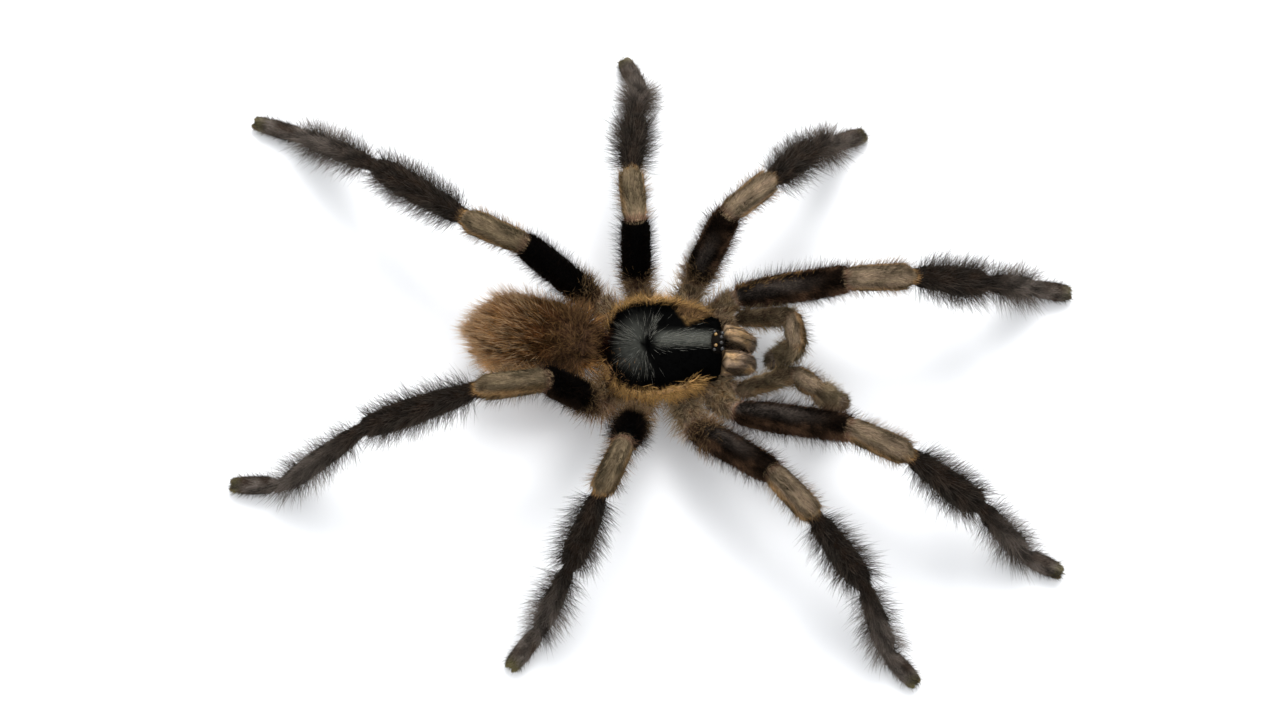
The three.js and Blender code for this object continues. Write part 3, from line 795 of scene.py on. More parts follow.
def marking(part, share, angle, at):
    """Colours of many places, each by the rule of its own part."""
    tone = np.empty((len(at), 3))
    for name in np.unique(part):
        mine = part == name
        tone[mine] = MARKING[name](Spots(share[mine], angle[mine], at[mine]))
    return tone


print(len(TONE), "tones,", len(MARKING), "rules")

# %% [markdown]
# The skin takes its colour from the nearest point of the sleeves. It shows only where the
# coat is thin, and a little darker than the hairs, as it lies in their shade.

# %% Colour the skin
SKIN_SHADE = 0.7


def ring_angles(patch):
    """The angle of every point of every ring, 0 upwards."""
    count, sides = patch["rings"].shape[:2]
    return np.tile(np.arange(sides) * FULL_TURN / sides, (count, 1))


def colour_attribute(mesh, values):
    """Stores one linear colour per corner of a mesh."""
    attribute = mesh.attributes.new("tone", "FLOAT_COLOR", "POINT")
    rgba = np.ones((len(values), 4), np.float32)
    rgba[:, :3] = values
    attribute.data.foreach_set("color", rgba.ravel())


places, tones = [], []
for patch in patches:
    sides = patch["rings"].shape[1]
    places.append(patch["rings"].reshape(-1, 3))
    tones.append(marking(np.repeat(patch["part"], sides), np.repeat(patch["share"], sides),
                         ring_angles(patch).ravel(), places[-1]))
places, tones = np.concatenate(places), np.concatenate(tones)
tree = kdtree.KDTree(len(places))
for i, at in enumerate(places):
    tree.insert(at, i)
tree.balance()
skin_at = mesh_corners(skin_mesh) / MM
nearest = [tree.find(at)[1] for at in skin_at]
colour_attribute(skin_mesh, tones[nearest] * SKIN_SHADE)
skin_mesh.shade_smooth()
print("skin coloured from", len(places), "points")

# %% [markdown]
# ## The coat
# Hair could be grown as particles or curves, but those are lost when a model is passed on, so
# every hair here is a thin closed spike with a three-sided foot. Short flat hairs are one
# straight spike; longer ones have one more ring, so that they can bend. A layer says how many
# hairs grow on a square millimetre of a segment, how long and thick they are, how steeply
# they stand and how far they straggle from the lie of the coat, which runs towards the tip of
# a limb, backwards on the abdomen and outwards from the fovea. Real hairs are finer and more
# crowded; these are as coarse as they need to be to show. The rules below say where on a
# segment a layer grows: 1 is its full density.

# %% Where layers grow on the limbs
def off_ends(p):
    """Thinner at both ends of a segment."""
    return 1 - 0.75 * (ramp(p.share, 0.05, 0.0) + ramp(p.share, 0.95, 1.0))


def off_tip(p):
    """Not on the tip of the foot."""
    return ramp(p.share, 0.93, 0.86)


def off_lines(p):
    """Thinner on the two pale lines of the patella."""
    off = np.abs(p.off_top - LINE_ANGLE)
    return 1 - 0.6 * ramp(off, 0.1, 0.04) * ramp(p.share, 0.05, 0.15) * ramp(p.share, 0.95, 0.8)


def off_joint(p):
    """Sparse on the soft skin at the outer end of the coxa."""
    return 1 - 0.85 * ramp(p.share, 0.86, 0.92)


def on_left(p):
    """On the left flank, fading along the segment."""
    return ramp(-np.sin(p.angle), 0.1, 0.7) * ramp(p.share, 0.75, 0.35)


def at_base(p):
    """At the inner end of the femur, but not on the front pair."""
    return ramp(p.share, 0.4, 0.15) * ramp(p.ahead, 12.0, 9.0)


def at_rim(p):
    """A narrow row over the top of the femur's outer end."""
    return ramp(p.share, 0.945, 0.96) * ramp(p.share, 0.995, 0.985) * ramp(p.low, 0.6, 0.4)


def on_sides(p):
    """Mostly on the flanks."""
    return 0.15 + 1.3 * p.flank ** 2


def on_shins(p):
    """On the flanks, away from both ends."""
    return on_sides(p) * ramp(p.share, 0.04, 0.12) * ramp(p.share, 1.0, 0.9)


def behind_head(p):
    """On the flanks of the coxae that lie behind the head."""
    return on_sides(p) * ramp(p.ahead, 11.0, 7.0)


# %% Where layers grow on the trunk
def on_dome(p):
    """On the upper side only."""
    return (np.cos(p.angle) > -0.1) * 1.0


def on_margin(p):
    """Along the edge of the carapace, but for the head and the painted shadow over the stalk."""
    rim = ramp(p.flank, 0.8, 0.95) * (np.cos(p.angle) > -0.5)
    return rim * ramp(p.share, 0.85, 0.72) * (1 - stalk_shadow(p))


def on_right_rim(p):
    """The very edge of the carapace, on the right, where the hair is combed along it."""
    rim = ramp(np.sin(p.angle), 0.95, 0.985) * (np.cos(p.angle) > -0.6)
    return rim * ramp(p.share, 0.12, 0.25) * ramp(p.share, 0.72, 0.6)


def on_brim(p):
    """A ring of the dome inside the golden edge."""
    brim = ramp(p.flank, 0.6, 0.75) * ramp(p.flank, 0.92, 0.86)
    return brim * on_dome(p) * ramp(p.share, 0.9, 0.8) * (1 - on_shoulder(p))


def silky(p):
    """Silver hairs: a band along the head and spokes about the fovea, fuller on the left."""
    forward, reach, bearing = from_fovea(p)
    left = p.aside > 0
    start = np.where(left, 0.3, 0.6)
    band = ramp(np.abs(p.aside - BAND_ASIDE), 1.9, 0.2) * ramp(forward, 0.5, 1.5)
    rear = ramp(np.abs(bearing), start, start + 1.3) * ramp(reach, 6.5, 2.5)
    circle = np.stack([np.cos(bearing), np.sin(bearing), 0 * bearing], 1) * 3
    spokes = np.clip(ramp(wave(circle, 1.0, 27), 0.25, 0.6), 0.2, 1)
    rear = rear * np.where(left, 1.0, 0.6) * spokes
    return np.clip(band + rear, 0.002, 1) * on_dome(p) * (1 - on_shoulder(p))


def at_waist(p):
    """Beside the stalk, at the front of the abdomen."""
    return ramp(p.share, 0.3, 0.12) * ramp(np.abs(p.aside), 1.5, 3.0)


def at_rear(p):
    """Towards the rear end."""
    return ramp(p.share, 0.3, 0.8)


def at_front(p):
    """Towards the front end."""
    return ramp(p.share, 0.6, 0.3)


def off_front(p):
    """Away from the front end."""
    return 1 - at_front(p)


# %% Layers of hair
def layer(density, length, width, lift, stray, tip, tip_share, curve=0.0, where=None, sway=0.1,
          gloss=0, turn=0, limbs=None):
    """One kind of hair: lengths in millimetres, angles in degrees, density per mm2. The tip's
    tone shows by tip_share; sway gathers locks, gloss 1 is silky, turn combs it sideways. Only
    a hair with a curve needs a second ring."""
    return {"density": density, "length": length, "width": width, "lift": math.radians(lift),
            "stray": math.radians(stray), "tip": TONE[tip], "tip_share": tip_share,
            "curve": curve, "rings": 2 if curve else 1, "where": where, "sway": sway,
            "gloss": gloss, "turn": math.radians(turn), "limbs": limbs}


HAIR = {
    # woolly, with long hair behind the head and a curly tuft on the right hind one
    "coxa": [
        layer(20, 1.5, 0.11, 34, 36, "tan", 0.8, where=off_joint, sway=0.6),
        layer(5, 1.9, 0.12, 32, 40, "soot", 0.9, where=off_joint, sway=0.8),
        layer(9, 3.4, 0.09, 56, 45, "tan", 0.8, curve=0.25, where=behind_head, sway=0.8),
        layer(11, 4.6, 0.10, 68, 55, "ochre", 0.5, curve=0.1, sway=0.6, limbs=("leg4_right",))],
    # short velvet, fine upright hair, and a pale rim at the knee
    "femur": [
        layer(30, 1.15, 0.13, 32, 14, "bark", 0.1, where=off_ends),
        layer(7, 2.8, 0.065, 58, 24, "bark", 0.5, where=on_sides),
        layer(8, 1.3, 0.09, 38, 22, "gold", 0.8, curve=0.15, where=on_left, limbs=("leg1_left",)),
        layer(9, 2.7, 0.09, 50, 40, "sand", 0.5, curve=0.15, where=at_base, sway=0.6),
        layer(80, 0.45, 0.13, 30, 10, "tan", 1.0, where=at_rim)],
    # flat combed hair with few bristles
    "patella": [
        layer(34, 1.2, 0.11, 13, 7, "straw", 0.3, where=off_lines, sway=0.2),
        layer(5, 1.3, 0.10, 15, 7, "bark", 0.6, sway=0.2),
        layer(7, 2.4, 0.06, 54, 24, "bark", 0.4, where=on_sides)],
    # dense short hair under long pale bristles
    "tibia metatarsus": [
        layer(23, 1.05, 0.13, 26, 18, "ash", 0.25, where=off_ends),
        layer(5, 4.2, 0.07, 62, 20, "ash", 0.5, curve=0.2, where=on_shins),
        layer(9, 3.4, 0.055, 58, 26, "ash", 0.6, where=on_shins)],
    "tarsus": [
        layer(34, 0.7, 0.11, 26, 16, "ash", 0.4, where=off_tip),
        layer(5, 1.4, 0.07, 50, 20, "ash", 0.3, curve=0.1, where=off_tip)],
    "pad": [
        layer(60, 0.4, 0.10, 50, 20, "straw", 0.3)],
    "palp_femur": [
        layer(30, 0.9, 0.11, 28, 18, "straw", 0.25)],
    "palp_tibia palp_tarsus": [
        layer(30, 1.1, 0.11, 30, 18, "straw", 0.35)],
    "palp_femur palp_tibia": [
        layer(7, 2.0, 0.07, 55, 26, "straw", 0.5, curve=0.15, where=on_sides)],
    "palp_tarsus": [
        layer(6, 1.5, 0.07, 50, 24, "straw", 0.3, curve=0.1)],
    # flat black pile, silver rays, golden fringe, dark brim, wool, and a combed rim
    "carapace": [
        layer(26, 0.8, 0.09, 9, 8, "jet", 0.3, where=on_dome),
        layer(13, 2.0, 0.10, 8, 4, "silk", 0.8, where=silky, sway=0.05, gloss=1),
        layer(24, 2.8, 0.10, 32, 34, "gold", 1.0, curve=0.15, where=on_margin, sway=0.7),
        layer(14, 2.1, 0.10, 14, 14, "jet", 0.2, curve=0.1, where=on_brim, sway=0.3),
        layer(16, 1.9, 0.09, 28, 40, "ochre", 0.35, curve=0.15, where=on_shoulder, sway=0.7),
        layer(60, 2.0, 0.11, 16, 8, "gold", 1.0, curve=0.05, where=on_right_rim, sway=0.05,
              gloss=1, turn=84)],
    # a combed back with long foxy hairs behind, and loose curls in front
    "abdomen": [
        layer(26, 2.1, 0.09, 22, 8, "fox", 0.15, where=off_front, sway=0.08),
        layer(22, 1.5, 0.11, 36, 34, "fox", 0.1, where=at_front, sway=0.6),
        layer(8, 3.2, 0.08, 26, 9, "fox", 1.0, curve=0.05, where=at_rear, sway=0.05, gloss=1),
        layer(7, 3.8, 0.07, 58, 16, "sand", 1.0, curve=0.05, where=at_rear, gloss=1),
        layer(9, 2.8, 0.085, 55, 50, "ochre", 0.7, curve=0.2, where=at_front, sway=0.9),
        layer(13, 4.0, 0.10, 66, 45, "ochre", 0.3, curve=0.1, where=at_waist, sway=0.7)],
    # Dark hair on the stalk, darkened as painted shadow in the gap between carapace and abdomen.
    "pedicel": [
        layer(40, 3.9, 0.12, 50, 50, "maroon", 0.3, sway=0.6)],
    "sternum": [
        layer(18, 1.0, 0.10, 22, 18, "umber", 0.4)],
    "spinneret": [
        layer(24, 0.9, 0.10, 24, 15, "ginger", 0.4)],
    "chelicera": [
        layer(44, 0.9, 0.10, 12, 6, "sand", 0.3, gloss=1),
        layer(1.5, 1.6, 0.08, 35, 15, "umber", 0.3, curve=0.1)],
}
LAYERS = [kind | {"parts": parts.split()} for parts, kinds in HAIR.items() for kind in kinds]
print(len(LAYERS), "layers")

# %% [markdown]
# Roots are strewn over a patch so that each small cell between two rings gets its share by
# area and density. Roots that lie inside another sleeve, where hip and body cross, are
# dropped: they are the ones far from the joined skin.

# %% Strew roots over a patch
HIDDEN = 0.12
ALONG_GRAIN = 0.25
skin_tree = BVHTree.FromPolygons([Vector(at) for at in skin_at],
                                 [face.vertices[:] for face in skin_mesh.polygons])


def strew(patch, kind):
    """Roots of one layer on one patch, with all that a hair needs to know of its place."""
    rings, parts, shares = patch["rings"], patch["part"], patch["share"]
    count, sides = rings.shape[:2]
    beside = np.roll(rings, -1, axis=1)
    to_side, to_tip = beside[:-1] - rings[:-1], rings[1:] - rings[:-1]
    area = np.linalg.norm(np.cross(to_side, to_tip), axis=2).ravel()
    part, share = np.repeat(parts[:-1], sides), np.repeat(shares[:-1], sides)
    next_share = np.where(parts[1:] == parts[:-1], shares[1:] - shares[:-1], 1 - shares[:-1])
    step = np.repeat(next_share, sides)
    angle = np.tile((np.arange(sides) + 0.5) * FULL_TURN / sides, count - 1)
    inner = rings[:-1].reshape(-1, 3)
    weight = area * np.isin(part, kind["parts"]) * kind["density"]
    if kind["where"]:
        weight = weight * kind["where"](Spots(share, angle, inner))
    number = int(round(weight.sum()))
    if number == 0:
        return None
    cell = random.choice(len(weight), number, p=weight / weight.sum())
    u, v = random.random((2, number))
    side_way, tip_way = to_side.reshape(-1, 3)[cell], to_tip.reshape(-1, 3)[cell]
    far_side = (beside[1:] - rings[1:]).reshape(-1, 3)[cell]
    root = (inner[cell] + v[:, None] * tip_way
            + u[:, None] * (side_way + v[:, None] * (far_side - side_way)))
    centre = rings.mean(1)[cell // sides]
    turn = (angle[cell] + (u - 0.5) * FULL_TURN / sides) % FULL_TURN
    normal = unit(np.cross(side_way + far_side, tip_way))
    normal *= np.sign(np.sum(normal * (root - centre), 1))[:, None]
    seen = np.array([skin_tree.find_nearest(at)[3] < HIDDEN for at in root])
    row = cell // sides + v
    girth = np.linalg.norm(root - centre, axis=1)
    grain = np.stack([girth * np.cos(turn), girth * np.sin(turn), ALONG_GRAIN * row * RING_STEP], 1)
    found = {"root": root, "normal": normal, "along": unit(tip_way), "part": part[cell],
             "share": share[cell] + v * step[cell], "angle": turn, "grain": grain,
             "chart": np.stack([turn / FULL_TURN, row / (count - 1)], 1)}
    return {key: value[seen] for key, value in found.items()}


def lie_of(patch, at):
    """The direction in which the coat lies at the roots of a patch."""
    if patch["name"] == "abdomen":
        return at["along"] * np.sign(at["share"] - 0.12)[:, None]
    if patch["name"] != "carapace":
        return at["along"]
    ahead, aside = middle[1] - at["root"][:, 1] - FOVEA, at["root"][:, 0] - middle[0]
    forward = np.exp(-(aside / 1.7) ** 2) * ramp(ahead, 1.0, 3.0) * 4
    return unit(np.stack([aside, -ahead - forward, 0 * ahead], 1))


print("roots farther than", HIDDEN, "mm from the skin are dropped")

# %% [markdown]
# A hair starts a little below the skin, leaves it at its lift and strays from the lie by a
# random angle. Neighbours lean the same way, by a smooth noise, which gathers them to locks.
# Nothing may dip into the floor, so low corners are lifted to just above it.

# %% The shape of hairs
SINK = 0.08
ABOVE_FLOOR = 0.05
LOCK_SIZE = 1.1


def spike_faces(rings):
    """Triangles of a spike with a three-sided foot: its foot, its walls and its tip."""
    faces = [(0, 2, 1)]
    for a in range(0, 3 * rings - 3, 3):
        for j in range(3):
            k = (j + 1) % 3
            faces += [(a + j, a + k, a + 3 + k), (a + j, a + 3 + k, a + 3 + j)]
    a = 3 * (rings - 1)
    return np.array(faces + [(a + j, a + (j + 1) % 3, a + 3) for j in range(3)])


def hair_corners(patch, kind, at, steps):
    """Corners of every hair: rings of three from the foot up, then the tip."""
    number, normal = len(at["root"]), at["normal"]
    lie = lie_of(patch, at)
    lie = unit(lie - np.sum(lie * normal, 1)[:, None] * normal)
    side = np.cross(normal, lie)
    lean = [wave(at["root"], LOCK_SIZE, seed) - 0.5 for seed in (20, 21)]
    lean = np.stack(lean, 1) * 2 * kind["sway"]
    stray = random.normal(size=number) * kind["stray"] + lean[:, 0] + kind["turn"]
    lift = np.clip(kind["lift"] * random.uniform(0.6, 1.45, number) + 0.3 * lean[:, 1], 0.05, 1.45)
    flat = np.cos(stray)[:, None] * lie + np.sin(stray)[:, None] * side
    way = np.cos(lift)[:, None] * flat + np.sin(lift)[:, None] * normal
    bend = unit(flat - np.sum(flat * way, 1)[:, None] * way)
    length = kind["length"] * random.uniform(0.6, 1.3, number)
    thick = kind["width"] / 2 * random.uniform(0.75, 1.2, number)
    first = unit(np.cross(way, random.normal(size=(number, 3))))
    second = np.cross(way, first)
    rise = steps[None, :, None]
    spine = (at["root"] - normal * SINK)[:, None] + length[:, None, None] * (
        rise * way[:, None] + kind["curve"] * rise ** 2 * bend[:, None])
    turn = (np.arange(3) * FULL_TURN / 3)[None, :, None]
    circle = np.cos(turn) * first[:, None] + np.sin(turn) * second[:, None]
    taper = (1 - 0.65 * steps[:-1] ** 1.5)[None, :, None, None] * thick[:, None, None, None]
    body = spine[:, :-1, None] + taper * circle[:, None]
    verts = np.concatenate([body.reshape(number, -1, 3), spine[:, -1:]], 1)
    lowest = ABOVE_FLOOR + 0.02 * np.arange(verts.shape[1])
    verts[..., 2] = np.maximum(verts[..., 2], lowest)
    return verts


print("a straight hair has", len(spike_faces(1)), "triangles, a bent one", len(spike_faces(2)))

# %% [markdown]
# The hair's colour is that of the skin's marking, in lighter and darker locks that run along
# the limb, each hair with a lightness of its own. It is darker at the root, where little
# light reaches, and turns towards the tip's own tone. Every hair also gets a small place of
# its own on the map OFBake, so that its colour can be baked into a picture.

# %% Colour and map of hairs
LOCK_WIDTH = 0.8
LOCK_SEED = 30
MAP_SIZE = 0.003


def hair_tones(kind, at, level):
    """Linear colours of the corners of every hair; level is 0 at the foot and 1 at the tip."""
    number = len(at["root"])
    base = marking(at["part"], at["share"], at["angle"], at["root"])
    locks = 0.3 + 1.4 * ramp(wave(at["grain"], LOCK_WIDTH, LOCK_SEED), 0.15, 0.85)
    base = base * (locks * random.uniform(0.55, 1.5, number))[:, None]
    blend = (kind["tip_share"] * random.uniform(0.4, 1.4, number))[:, None] * level[None] ** 1.3
    tone = base[:, None] * (0.5 + 0.5 * level)[None, :, None]
    return tone + (kind["tip"] - tone) * np.clip(blend, 0, 1)[..., None]


def hair_chart(at, level, rings, strip):
    """Places on the map: a small kite for every hair, in the strip of its patch."""
    x0, y0, x1, y1 = strip
    centre = np.array([x0, y0]) + at["chart"] * [x1 - x0, y1 - y0]
    x = np.append(np.tile([-0.5, 0.5, 0.0], rings), 0.0) * MAP_SIZE
    y = np.append(level[:-1] - 0.5 + np.tile([0, 0, -0.25], rings), 0.5) * MAP_SIZE
    return centre[:, None] + np.stack([x, y], 1)[None]


def grow(patch, kind, strip):
    """Corners, triangles, colours, map places and finish of one layer on one patch."""
    if kind["limbs"] and patch["name"] not in kind["limbs"]:
        return None
    at = strew(patch, kind)
    if at is None or len(at["root"]) == 0:
        return None
    rings = kind["rings"]
    steps = np.arange(rings + 1) / rings
    level = np.append(np.repeat(steps[:-1], 3), 1.0)
    verts = hair_corners(patch, kind, at, steps)
    number, per_hair = verts.shape[:2]
    faces = spike_faces(rings)[None] + (np.arange(number) * per_hair)[:, None, None]
    tone = hair_tones(kind, at, level)
    chart = hair_chart(at, level, rings, strip)
    gloss = np.full(faces.size // 3, kind["gloss"], np.int32)
    return (verts.reshape(-1, 3), faces.reshape(-1, 3), tone.reshape(-1, 3),
            chart.reshape(-1, 2), gloss)


print("a hair's place on the map is", MAP_SIZE, "wide")

# %% Coat pieces
COATS = {f"coat_{name}": (name, f"pad_{name}") for name in LEGS}
COATS["coat_palps"] = ("palp",)
COATS["coat_head"] = ("carapace", "chelicera", "sternum", "core")
COATS["coat_abdomen"] = ("abdomen", "pedicel", "spinneret")


def mesh_from(name, verts, faces, tone, chart, gloss):
    """A mesh of triangles with a colour per corner and the map OFBake."""
    mesh = bpy.data.meshes.new(name)
    mesh.vertices.add(len(verts))
    mesh.vertices.foreach_set("co", (verts * MM).ravel())
    mesh.loops.add(faces.size)
    mesh.loops.foreach_set("vertex_index", faces.ravel().astype(np.int32))
    mesh.polygons.add(len(faces))
    mesh.polygons.foreach_set("loop_start", np.arange(0, faces.size, 3, dtype=np.int32))
    mesh.polygons.foreach_set("material_index", gloss)
    mesh.update(calc_edges=True)
    colour_attribute(mesh, tone)
    at = np.clip(chart, 0, 1)[faces.ravel()].astype(np.float32)
    mesh.uv_layers.new(name="OFBake").uv.foreach_set("vector", at.ravel())
    mesh.shade_smooth()
    return mesh


def coat(name, starts):
    """One coat piece from the patches named so, each with its own strip of the map."""
    covered = [patch for patch in patches if patch["name"].startswith(starts)]
    grown, first = [], 0
    for i, patch in enumerate(covered):
        strip = ((i + 0.02) / len(covered), 0.01, (i + 0.98) / len(covered), 0.99)
        grown += [grow(patch, kind, strip) for kind in LAYERS]
    parts = []
    for verts, faces, *others in filter(None, grown):
        parts.append((verts, faces + first, *others))
        first += len(verts)
    mesh = mesh_from(name, *(np.concatenate(values) for values in zip(*parts)))
    print(name, len(mesh.polygons), "triangles")
    return add_piece(name, mesh)


coats = {name: coat(name, starts) for name, starts in COATS.items()}
print("coat:", sum(len(piece.data.polygons) for piece in coats.values()), "triangles")

# %% [markdown]
# ## Eyes
# Eight small eyes sit on the mound in two rows, hard clear lenses over a dark cup. They are
# too small to show an iris; what is seen is a bead with a bright glint, amber where light
# comes back from the layer behind the lens. Each bead takes the place of its solid.

# %% Eight lenses
LENS_ROWS, LENS_SIDES, LENS_END = 16, 28, 0.03


def ball(name, centre, radius):
    """A smooth bead."""
    turn = np.linspace(LENS_END, math.pi - LENS_END, LENS_ROWS)
    angle = np.linspace(0, FULL_TURN, LENS_SIDES, endpoint=False)
    rings = np.stack([np.sin(turn)[:, None] * np.cos(angle), np.sin(turn)[:, None] * np.sin(angle),
                      np.cos(turn)[:, None] + 0 * angle], 2) * radius + centre
    mesh = outward(closed_mesh(name, rings))
    mesh.shade_smooth()
    return add_piece(name, mesh)


eyes = {}
for node in [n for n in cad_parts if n.startswith("eye_") and n != "eye_mound"]:
    low, high = box_of(node)
    radius = np.ptp([low, high], axis=0).max() / 2
    eyes[node] = ball("lens_" + node[4:], (low + high) / 2, radius)
    print(node, "radius", round(radius, 2), "mm")

# %% [markdown]
# ## Materials
# A finish is a small node tree. One function adds a node with its settings and links. The
# hairs and the skin take their colour from the tone stored at their corners, and a fine
# noise breaks it up; the skin's noise also raises a shallow relief of flat fluff. Horn is
# chitin that was tanned hard and dark, and its tone wavers between two of one kind.

# %% Node trees
def material(name):
    """An empty node tree."""
    made = bpy.data.materials.new(name)
    made.use_nodes = True
    made.node_tree.nodes.clear()
    return made


def add(made, kind, settings=None, links=None):
    """Adds a node, sets its properties and sockets and links other nodes' outputs to it."""
    node = made.node_tree.nodes.new(kind)
    for key, value in (settings or {}).items():
        if isinstance(key, int) or key in node.inputs:
            node.inputs[key].default_value = value
        else:
            setattr(node, key, value)
    for key, source in (links or {}).items():
        made.node_tree.links.new(source, node.inputs[key])
    return node


def finish(made, settings, links=None):
    """The surface shader and the output of a material."""
    shader = add(made, "ShaderNodeBsdfPrincipled", settings, links)
    add(made, "ShaderNodeOutputMaterial", {}, {"Surface": shader.outputs["BSDF"]})
    return made


def grain_noise(made, grain, detail):
    """A noise over the object whose grain is given in millimetres."""
    place_node = add(made, "ShaderNodeTexCoord")
    return add(made, "ShaderNodeTexNoise", {"Scale": 1 / (grain * MM), "Detail": detail},
               {"Vector": place_node.outputs["Object"]})


def tone_material(name, roughness, ior, grain, strength, shine, relief=0.0):
    """Colour from the stored tone, broken up by a noise; relief is in millimetres."""
    made = material(name)
    stored = add(made, "ShaderNodeAttribute", {"attribute_name": "tone"})
    noise = grain_noise(made, grain, 3.0)
    level = add(made, "ShaderNodeMapRange", {"To Min": 1 - strength, "To Max": 1 + strength},
                {"Value": noise.outputs["Fac"]})
    colour = add(made, "ShaderNodeVectorMath", {"operation": "MULTIPLY"},
                 {0: stored.outputs["Color"], 1: level.outputs["Result"]})
    links = {"Base Color": colour.outputs["Vector"]}
    if relief:
        bump = add(made, "ShaderNodeBump", {"Strength": 0.6, "Distance": relief * MM},
                   {"Height": noise.outputs["Fac"]})
        links["Normal"] = bump.outputs["Normal"]
    return finish(made, {"Roughness": roughness, "IOR": ior, "Specular IOR Level": shine}, links)


def horn_material(name, dark, light, roughness, ior, grain, varnish):
    """A hard shiny finish that wavers between two tones."""
    made = material(name)
    noise = grain_noise(made, grain, 2.0)
    blend = add(made, "ShaderNodeValToRGB", {}, {"Fac": noise.outputs["Fac"]})
    for stop, at, code in zip(blend.color_ramp.elements, (0.35, 0.65), (dark, light)):
        stop.position, stop.color = at, (*tint(code), 1)
    return finish(made, {"Roughness": roughness, "IOR": ior, "Coat Weight": varnish,
                         "Coat Roughness": 0.03}, {"Base Color": blend.outputs["Color"]})


# %% Seven finishes
# Velvet setae: ribbed hollow hairs of chitin, grown in the skin. Their ribs scatter light, so
# they have almost no shine and give the legs and body a deep soft pile.
setae = tone_material("velvet setae", 0.9, 1.45, 0.35, 0.25, 0.03)
# Silky setae: smooth combed hairs of the same chitin, which give the shield's rays, its fringe
# and the abdomen a sheen along the hair.
silk_setae = tone_material("silky setae", 0.38, 1.55, 0.35, 0.25, 0.5)
# Cuticle: the bare skin under the coat, a dull waxy sheet with flat fluff, drawn coarser than
# it is so that it shows; it gives the dark ground between the hairs.
cuticle = tone_material("cuticle", 0.7, 1.5, 0.12, 0.35, 0.02, relief=0.05)
# Cornea: clear polished cuticle over a cup, here with the tone of the cup. Amber painted reflection
# of the light sent back by the bright layer of the hind middle eyes, dark over the rest; both give
# a small sharp glint.
lens_eyeshine = horn_material("cornea eyeshine", "#6a4a1c", "#a07a3a", 0.08, 1.5, 0.3, 1.0)
lens_dark = horn_material("cornea dark", "#0c0a08", "#17120e", 0.22, 1.5, 0.3, 0.3)
# Sclerotized cuticle: skin tanned to black horn and worn smooth, which gives the fangs a
# wet gleam; claws are the same, a little browner and duller.
fang_horn = horn_material("sclerotized cuticle", "#0d0705", "#27110a", 0.2, 1.55, 0.8, 0.6)
claw_horn = horn_material("claw cuticle", "#120b08", "#2c1a10", 0.25, 1.55, 0.3, 0.4)
skin.data.materials.clear()
skin.data.materials.append(cuticle)
for piece in coats.values():
    piece.data.materials.append(setae)
    piece.data.materials.append(silk_setae)
for node, piece in eyes.items():
    piece.data.materials.append(lens_eyeshine if "back_middle" in node else lens_dark)
print(len(bpy.data.materials), "materials")

# %% [markdown]
# ## Fangs and claws
# The fangs are their solids, rounded by subdivision. The loaded facets share no corners, so
# each is rounded by itself and open seams are left between them; a weld before the
# subdivision would close these. Every walking foot ends in a pair of small hooked claws
# between the pads. The solids have no claws, so each is a row of shrinking rings round a
# bent line.

# %% Fangs and claws
for side in SIDES:
    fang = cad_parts[f"fang_{side}"]
    smooth = fang.modifiers.new("rounded", "SUBSURF")
    smooth.levels = smooth.render_levels = 2
    fang.data.materials.clear()
    fang.data.materials.append(fang_horn)
CLAW_LENGTH, CLAW_RADIUS, CLAW_APART = 0.95, 0.11, 0.2
CLAW_BACK, CLAW_HEIGHT = 0.75, 1.25
CLAW_BEND = 75


def claw_rings(start, way, down):
    """A hook that starts along the foot and bends down."""
    share = np.linspace(0, 1, 9)
    turn = share * math.radians(CLAW_BEND)
    reach, drop = np.sin(turn), 1 - np.cos(turn)
    points = start + CLAW_LENGTH / 1.31 * (reach[:, None] * way + drop[:, None] * down)
    ways = unit(np.cos(turn)[:, None] * way + np.sin(turn)[:, None] * down)
    ups, across = frames(ways)
    size = CLAW_RADIUS * (1 - 0.9 * share)
    return around(points, ups, across, size, size, 10)


claws = {}
for name in LEGS:
    bend, toe = limbs[name][-2:]
    way = unit((toe - bend) * (1, 1, 0))
    across = np.cross(way, (0, 0, 1))
    hooks = []
    for sign in (-1, 1):
        start = toe - way * CLAW_BACK + across * sign * CLAW_APART
        start[2] = CLAW_HEIGHT
        rings = claw_rings(start, way, np.array([0, 0, -1.0]))
        hooks.append(add_piece("hook", outward(closed_mesh("hook", rings))))
    with bpy.context.temp_override(active_object=hooks[0], selected_editable_objects=hooks):
        bpy.ops.object.join()
    claws[name] = hooks[0]
    claws[name].name = f"claws_{name}"
    claws[name].data.shade_smooth()
    claws[name].data.materials.append(claw_horn)
print(2 * len(claws), "claws")

# %% [markdown]
# ## What stands for what
# The skin stands for every solid of flesh and each lens for its eye; the fangs stand for
# themselves. The animal is shown still, so all pieces ride on the one body.

FLESH = [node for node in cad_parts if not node.startswith("fang") and node not in eyes]
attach(skin, "root")
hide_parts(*FLESH)
for piece in coats.values():
    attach(piece, "root")
for node, piece in eyes.items():
    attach(piece, "root")
    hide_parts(node)
for piece in claws.values():
    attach(piece, "root")
print(len(FLESH), "solids replaced by the skin")

# %% [markdown]
# ## Floor, light and camera
# The spider is seen from its right side and from high up, on a white floor under a bright
# overcast sky of soft light, with one large lamp on its left that throws a faint shadow.
# The floor is uncoated white paper, whose loose fibres scatter light, so it is matt and gives
# no mirror image.

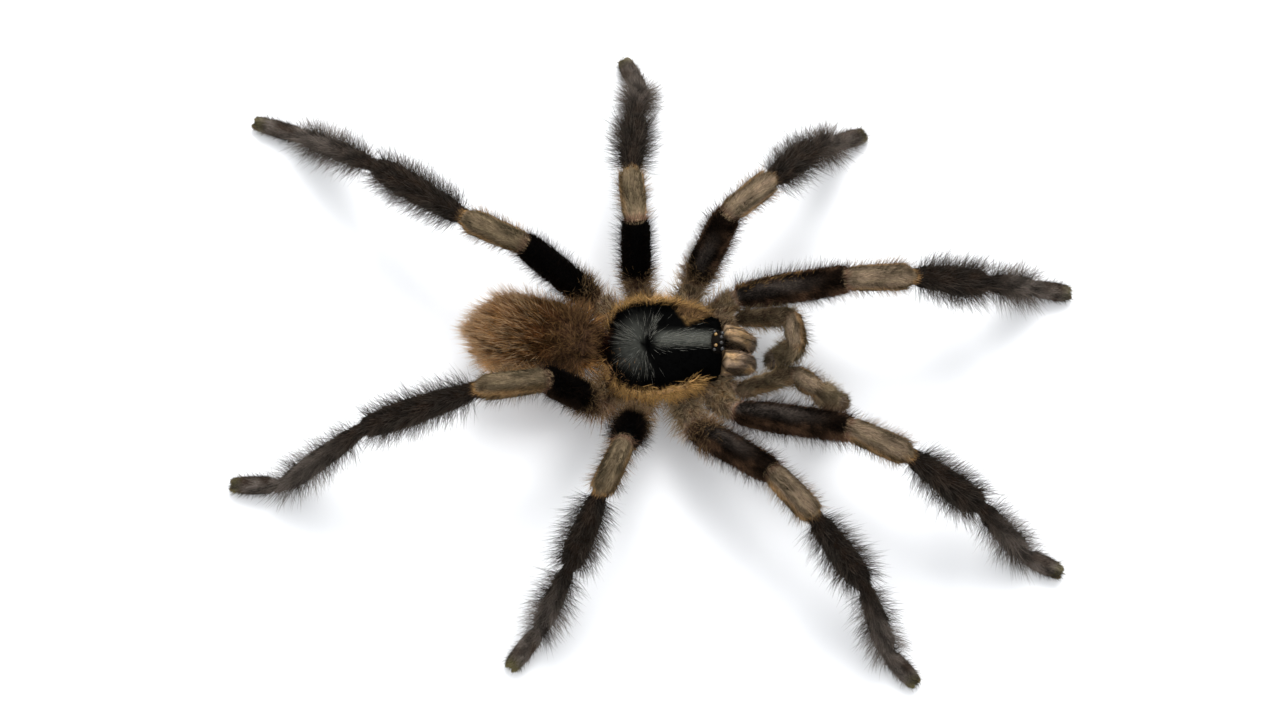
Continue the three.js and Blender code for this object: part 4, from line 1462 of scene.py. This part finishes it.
# %% Floor and light
FLOOR_HALF = 1.5
SKY_TINT, SKY_STRENGTH = (0.96, 0.98, 1, 1), 1.15
LAMP_AT, LAMP_SIZE, LAMP_POWER = (420, -60, 520), 320, 3.0
floor_mesh = bpy.data.meshes.new("floor")
square = [(x * FLOOR_HALF, y * FLOOR_HALF, 0) for x, y in ((-1, -1), (1, -1), (1, 1), (-1, 1))]
floor_mesh.from_pydata(square, [], [(0, 1, 2, 3)])
floor = add_piece("floor", floor_mesh)
paper = finish(material("paper"), {"Base Color": (*tint("#fafafb"), 1), "Roughness": 0.85})
floor.data.materials.append(paper)

scene = bpy.context.scene
scene.view_settings.view_transform = "Standard"
scene.world = bpy.data.worlds.new("sky")
scene.world.use_nodes = True
sky = scene.world.node_tree.nodes["Background"]
sky.inputs["Color"].default_value = SKY_TINT
sky.inputs["Strength"].default_value = SKY_STRENGTH

light = bpy.data.lights.new("window", "AREA")
light.size, light.energy = LAMP_SIZE * MM, LAMP_POWER
lamp = add_piece("window", light)
lamp.location = Vector(LAMP_AT) * MM
lamp.rotation_euler = Vector(LAMP_AT).to_track_quat("Z", "Y").to_euler()
print("lamp", round(Vector(LAMP_AT).length), "mm from the middle of the floor")

# %% Camera
CAMERA_TARGET = (-2.96, 2.44, 8.0)
CAMERA_TURN, CAMERA_RISE, CAMERA_FAR = math.radians(271.1), math.radians(71.0), 420
CAMERA_LENS, CAMERA_SENSOR = 68.5, 36
camera = add_piece("camera", bpy.data.cameras.new("camera"))
back = Vector((math.sin(CAMERA_TURN) * math.cos(CAMERA_RISE),
               -math.cos(CAMERA_TURN) * math.cos(CAMERA_RISE), math.sin(CAMERA_RISE)))
camera.location = (Vector(CAMERA_TARGET) + back * CAMERA_FAR) * MM
camera.rotation_euler = back.to_track_quat("Z", "Y").to_euler()
camera.data.lens, camera.data.sensor_width = CAMERA_LENS, CAMERA_SENSOR
camera.data.clip_start = 0.01
scene.camera = camera
print("camera at", [round(v / MM) for v in camera.location], "mm")

# %% Update the scene
bpy.context.view_layer.update()
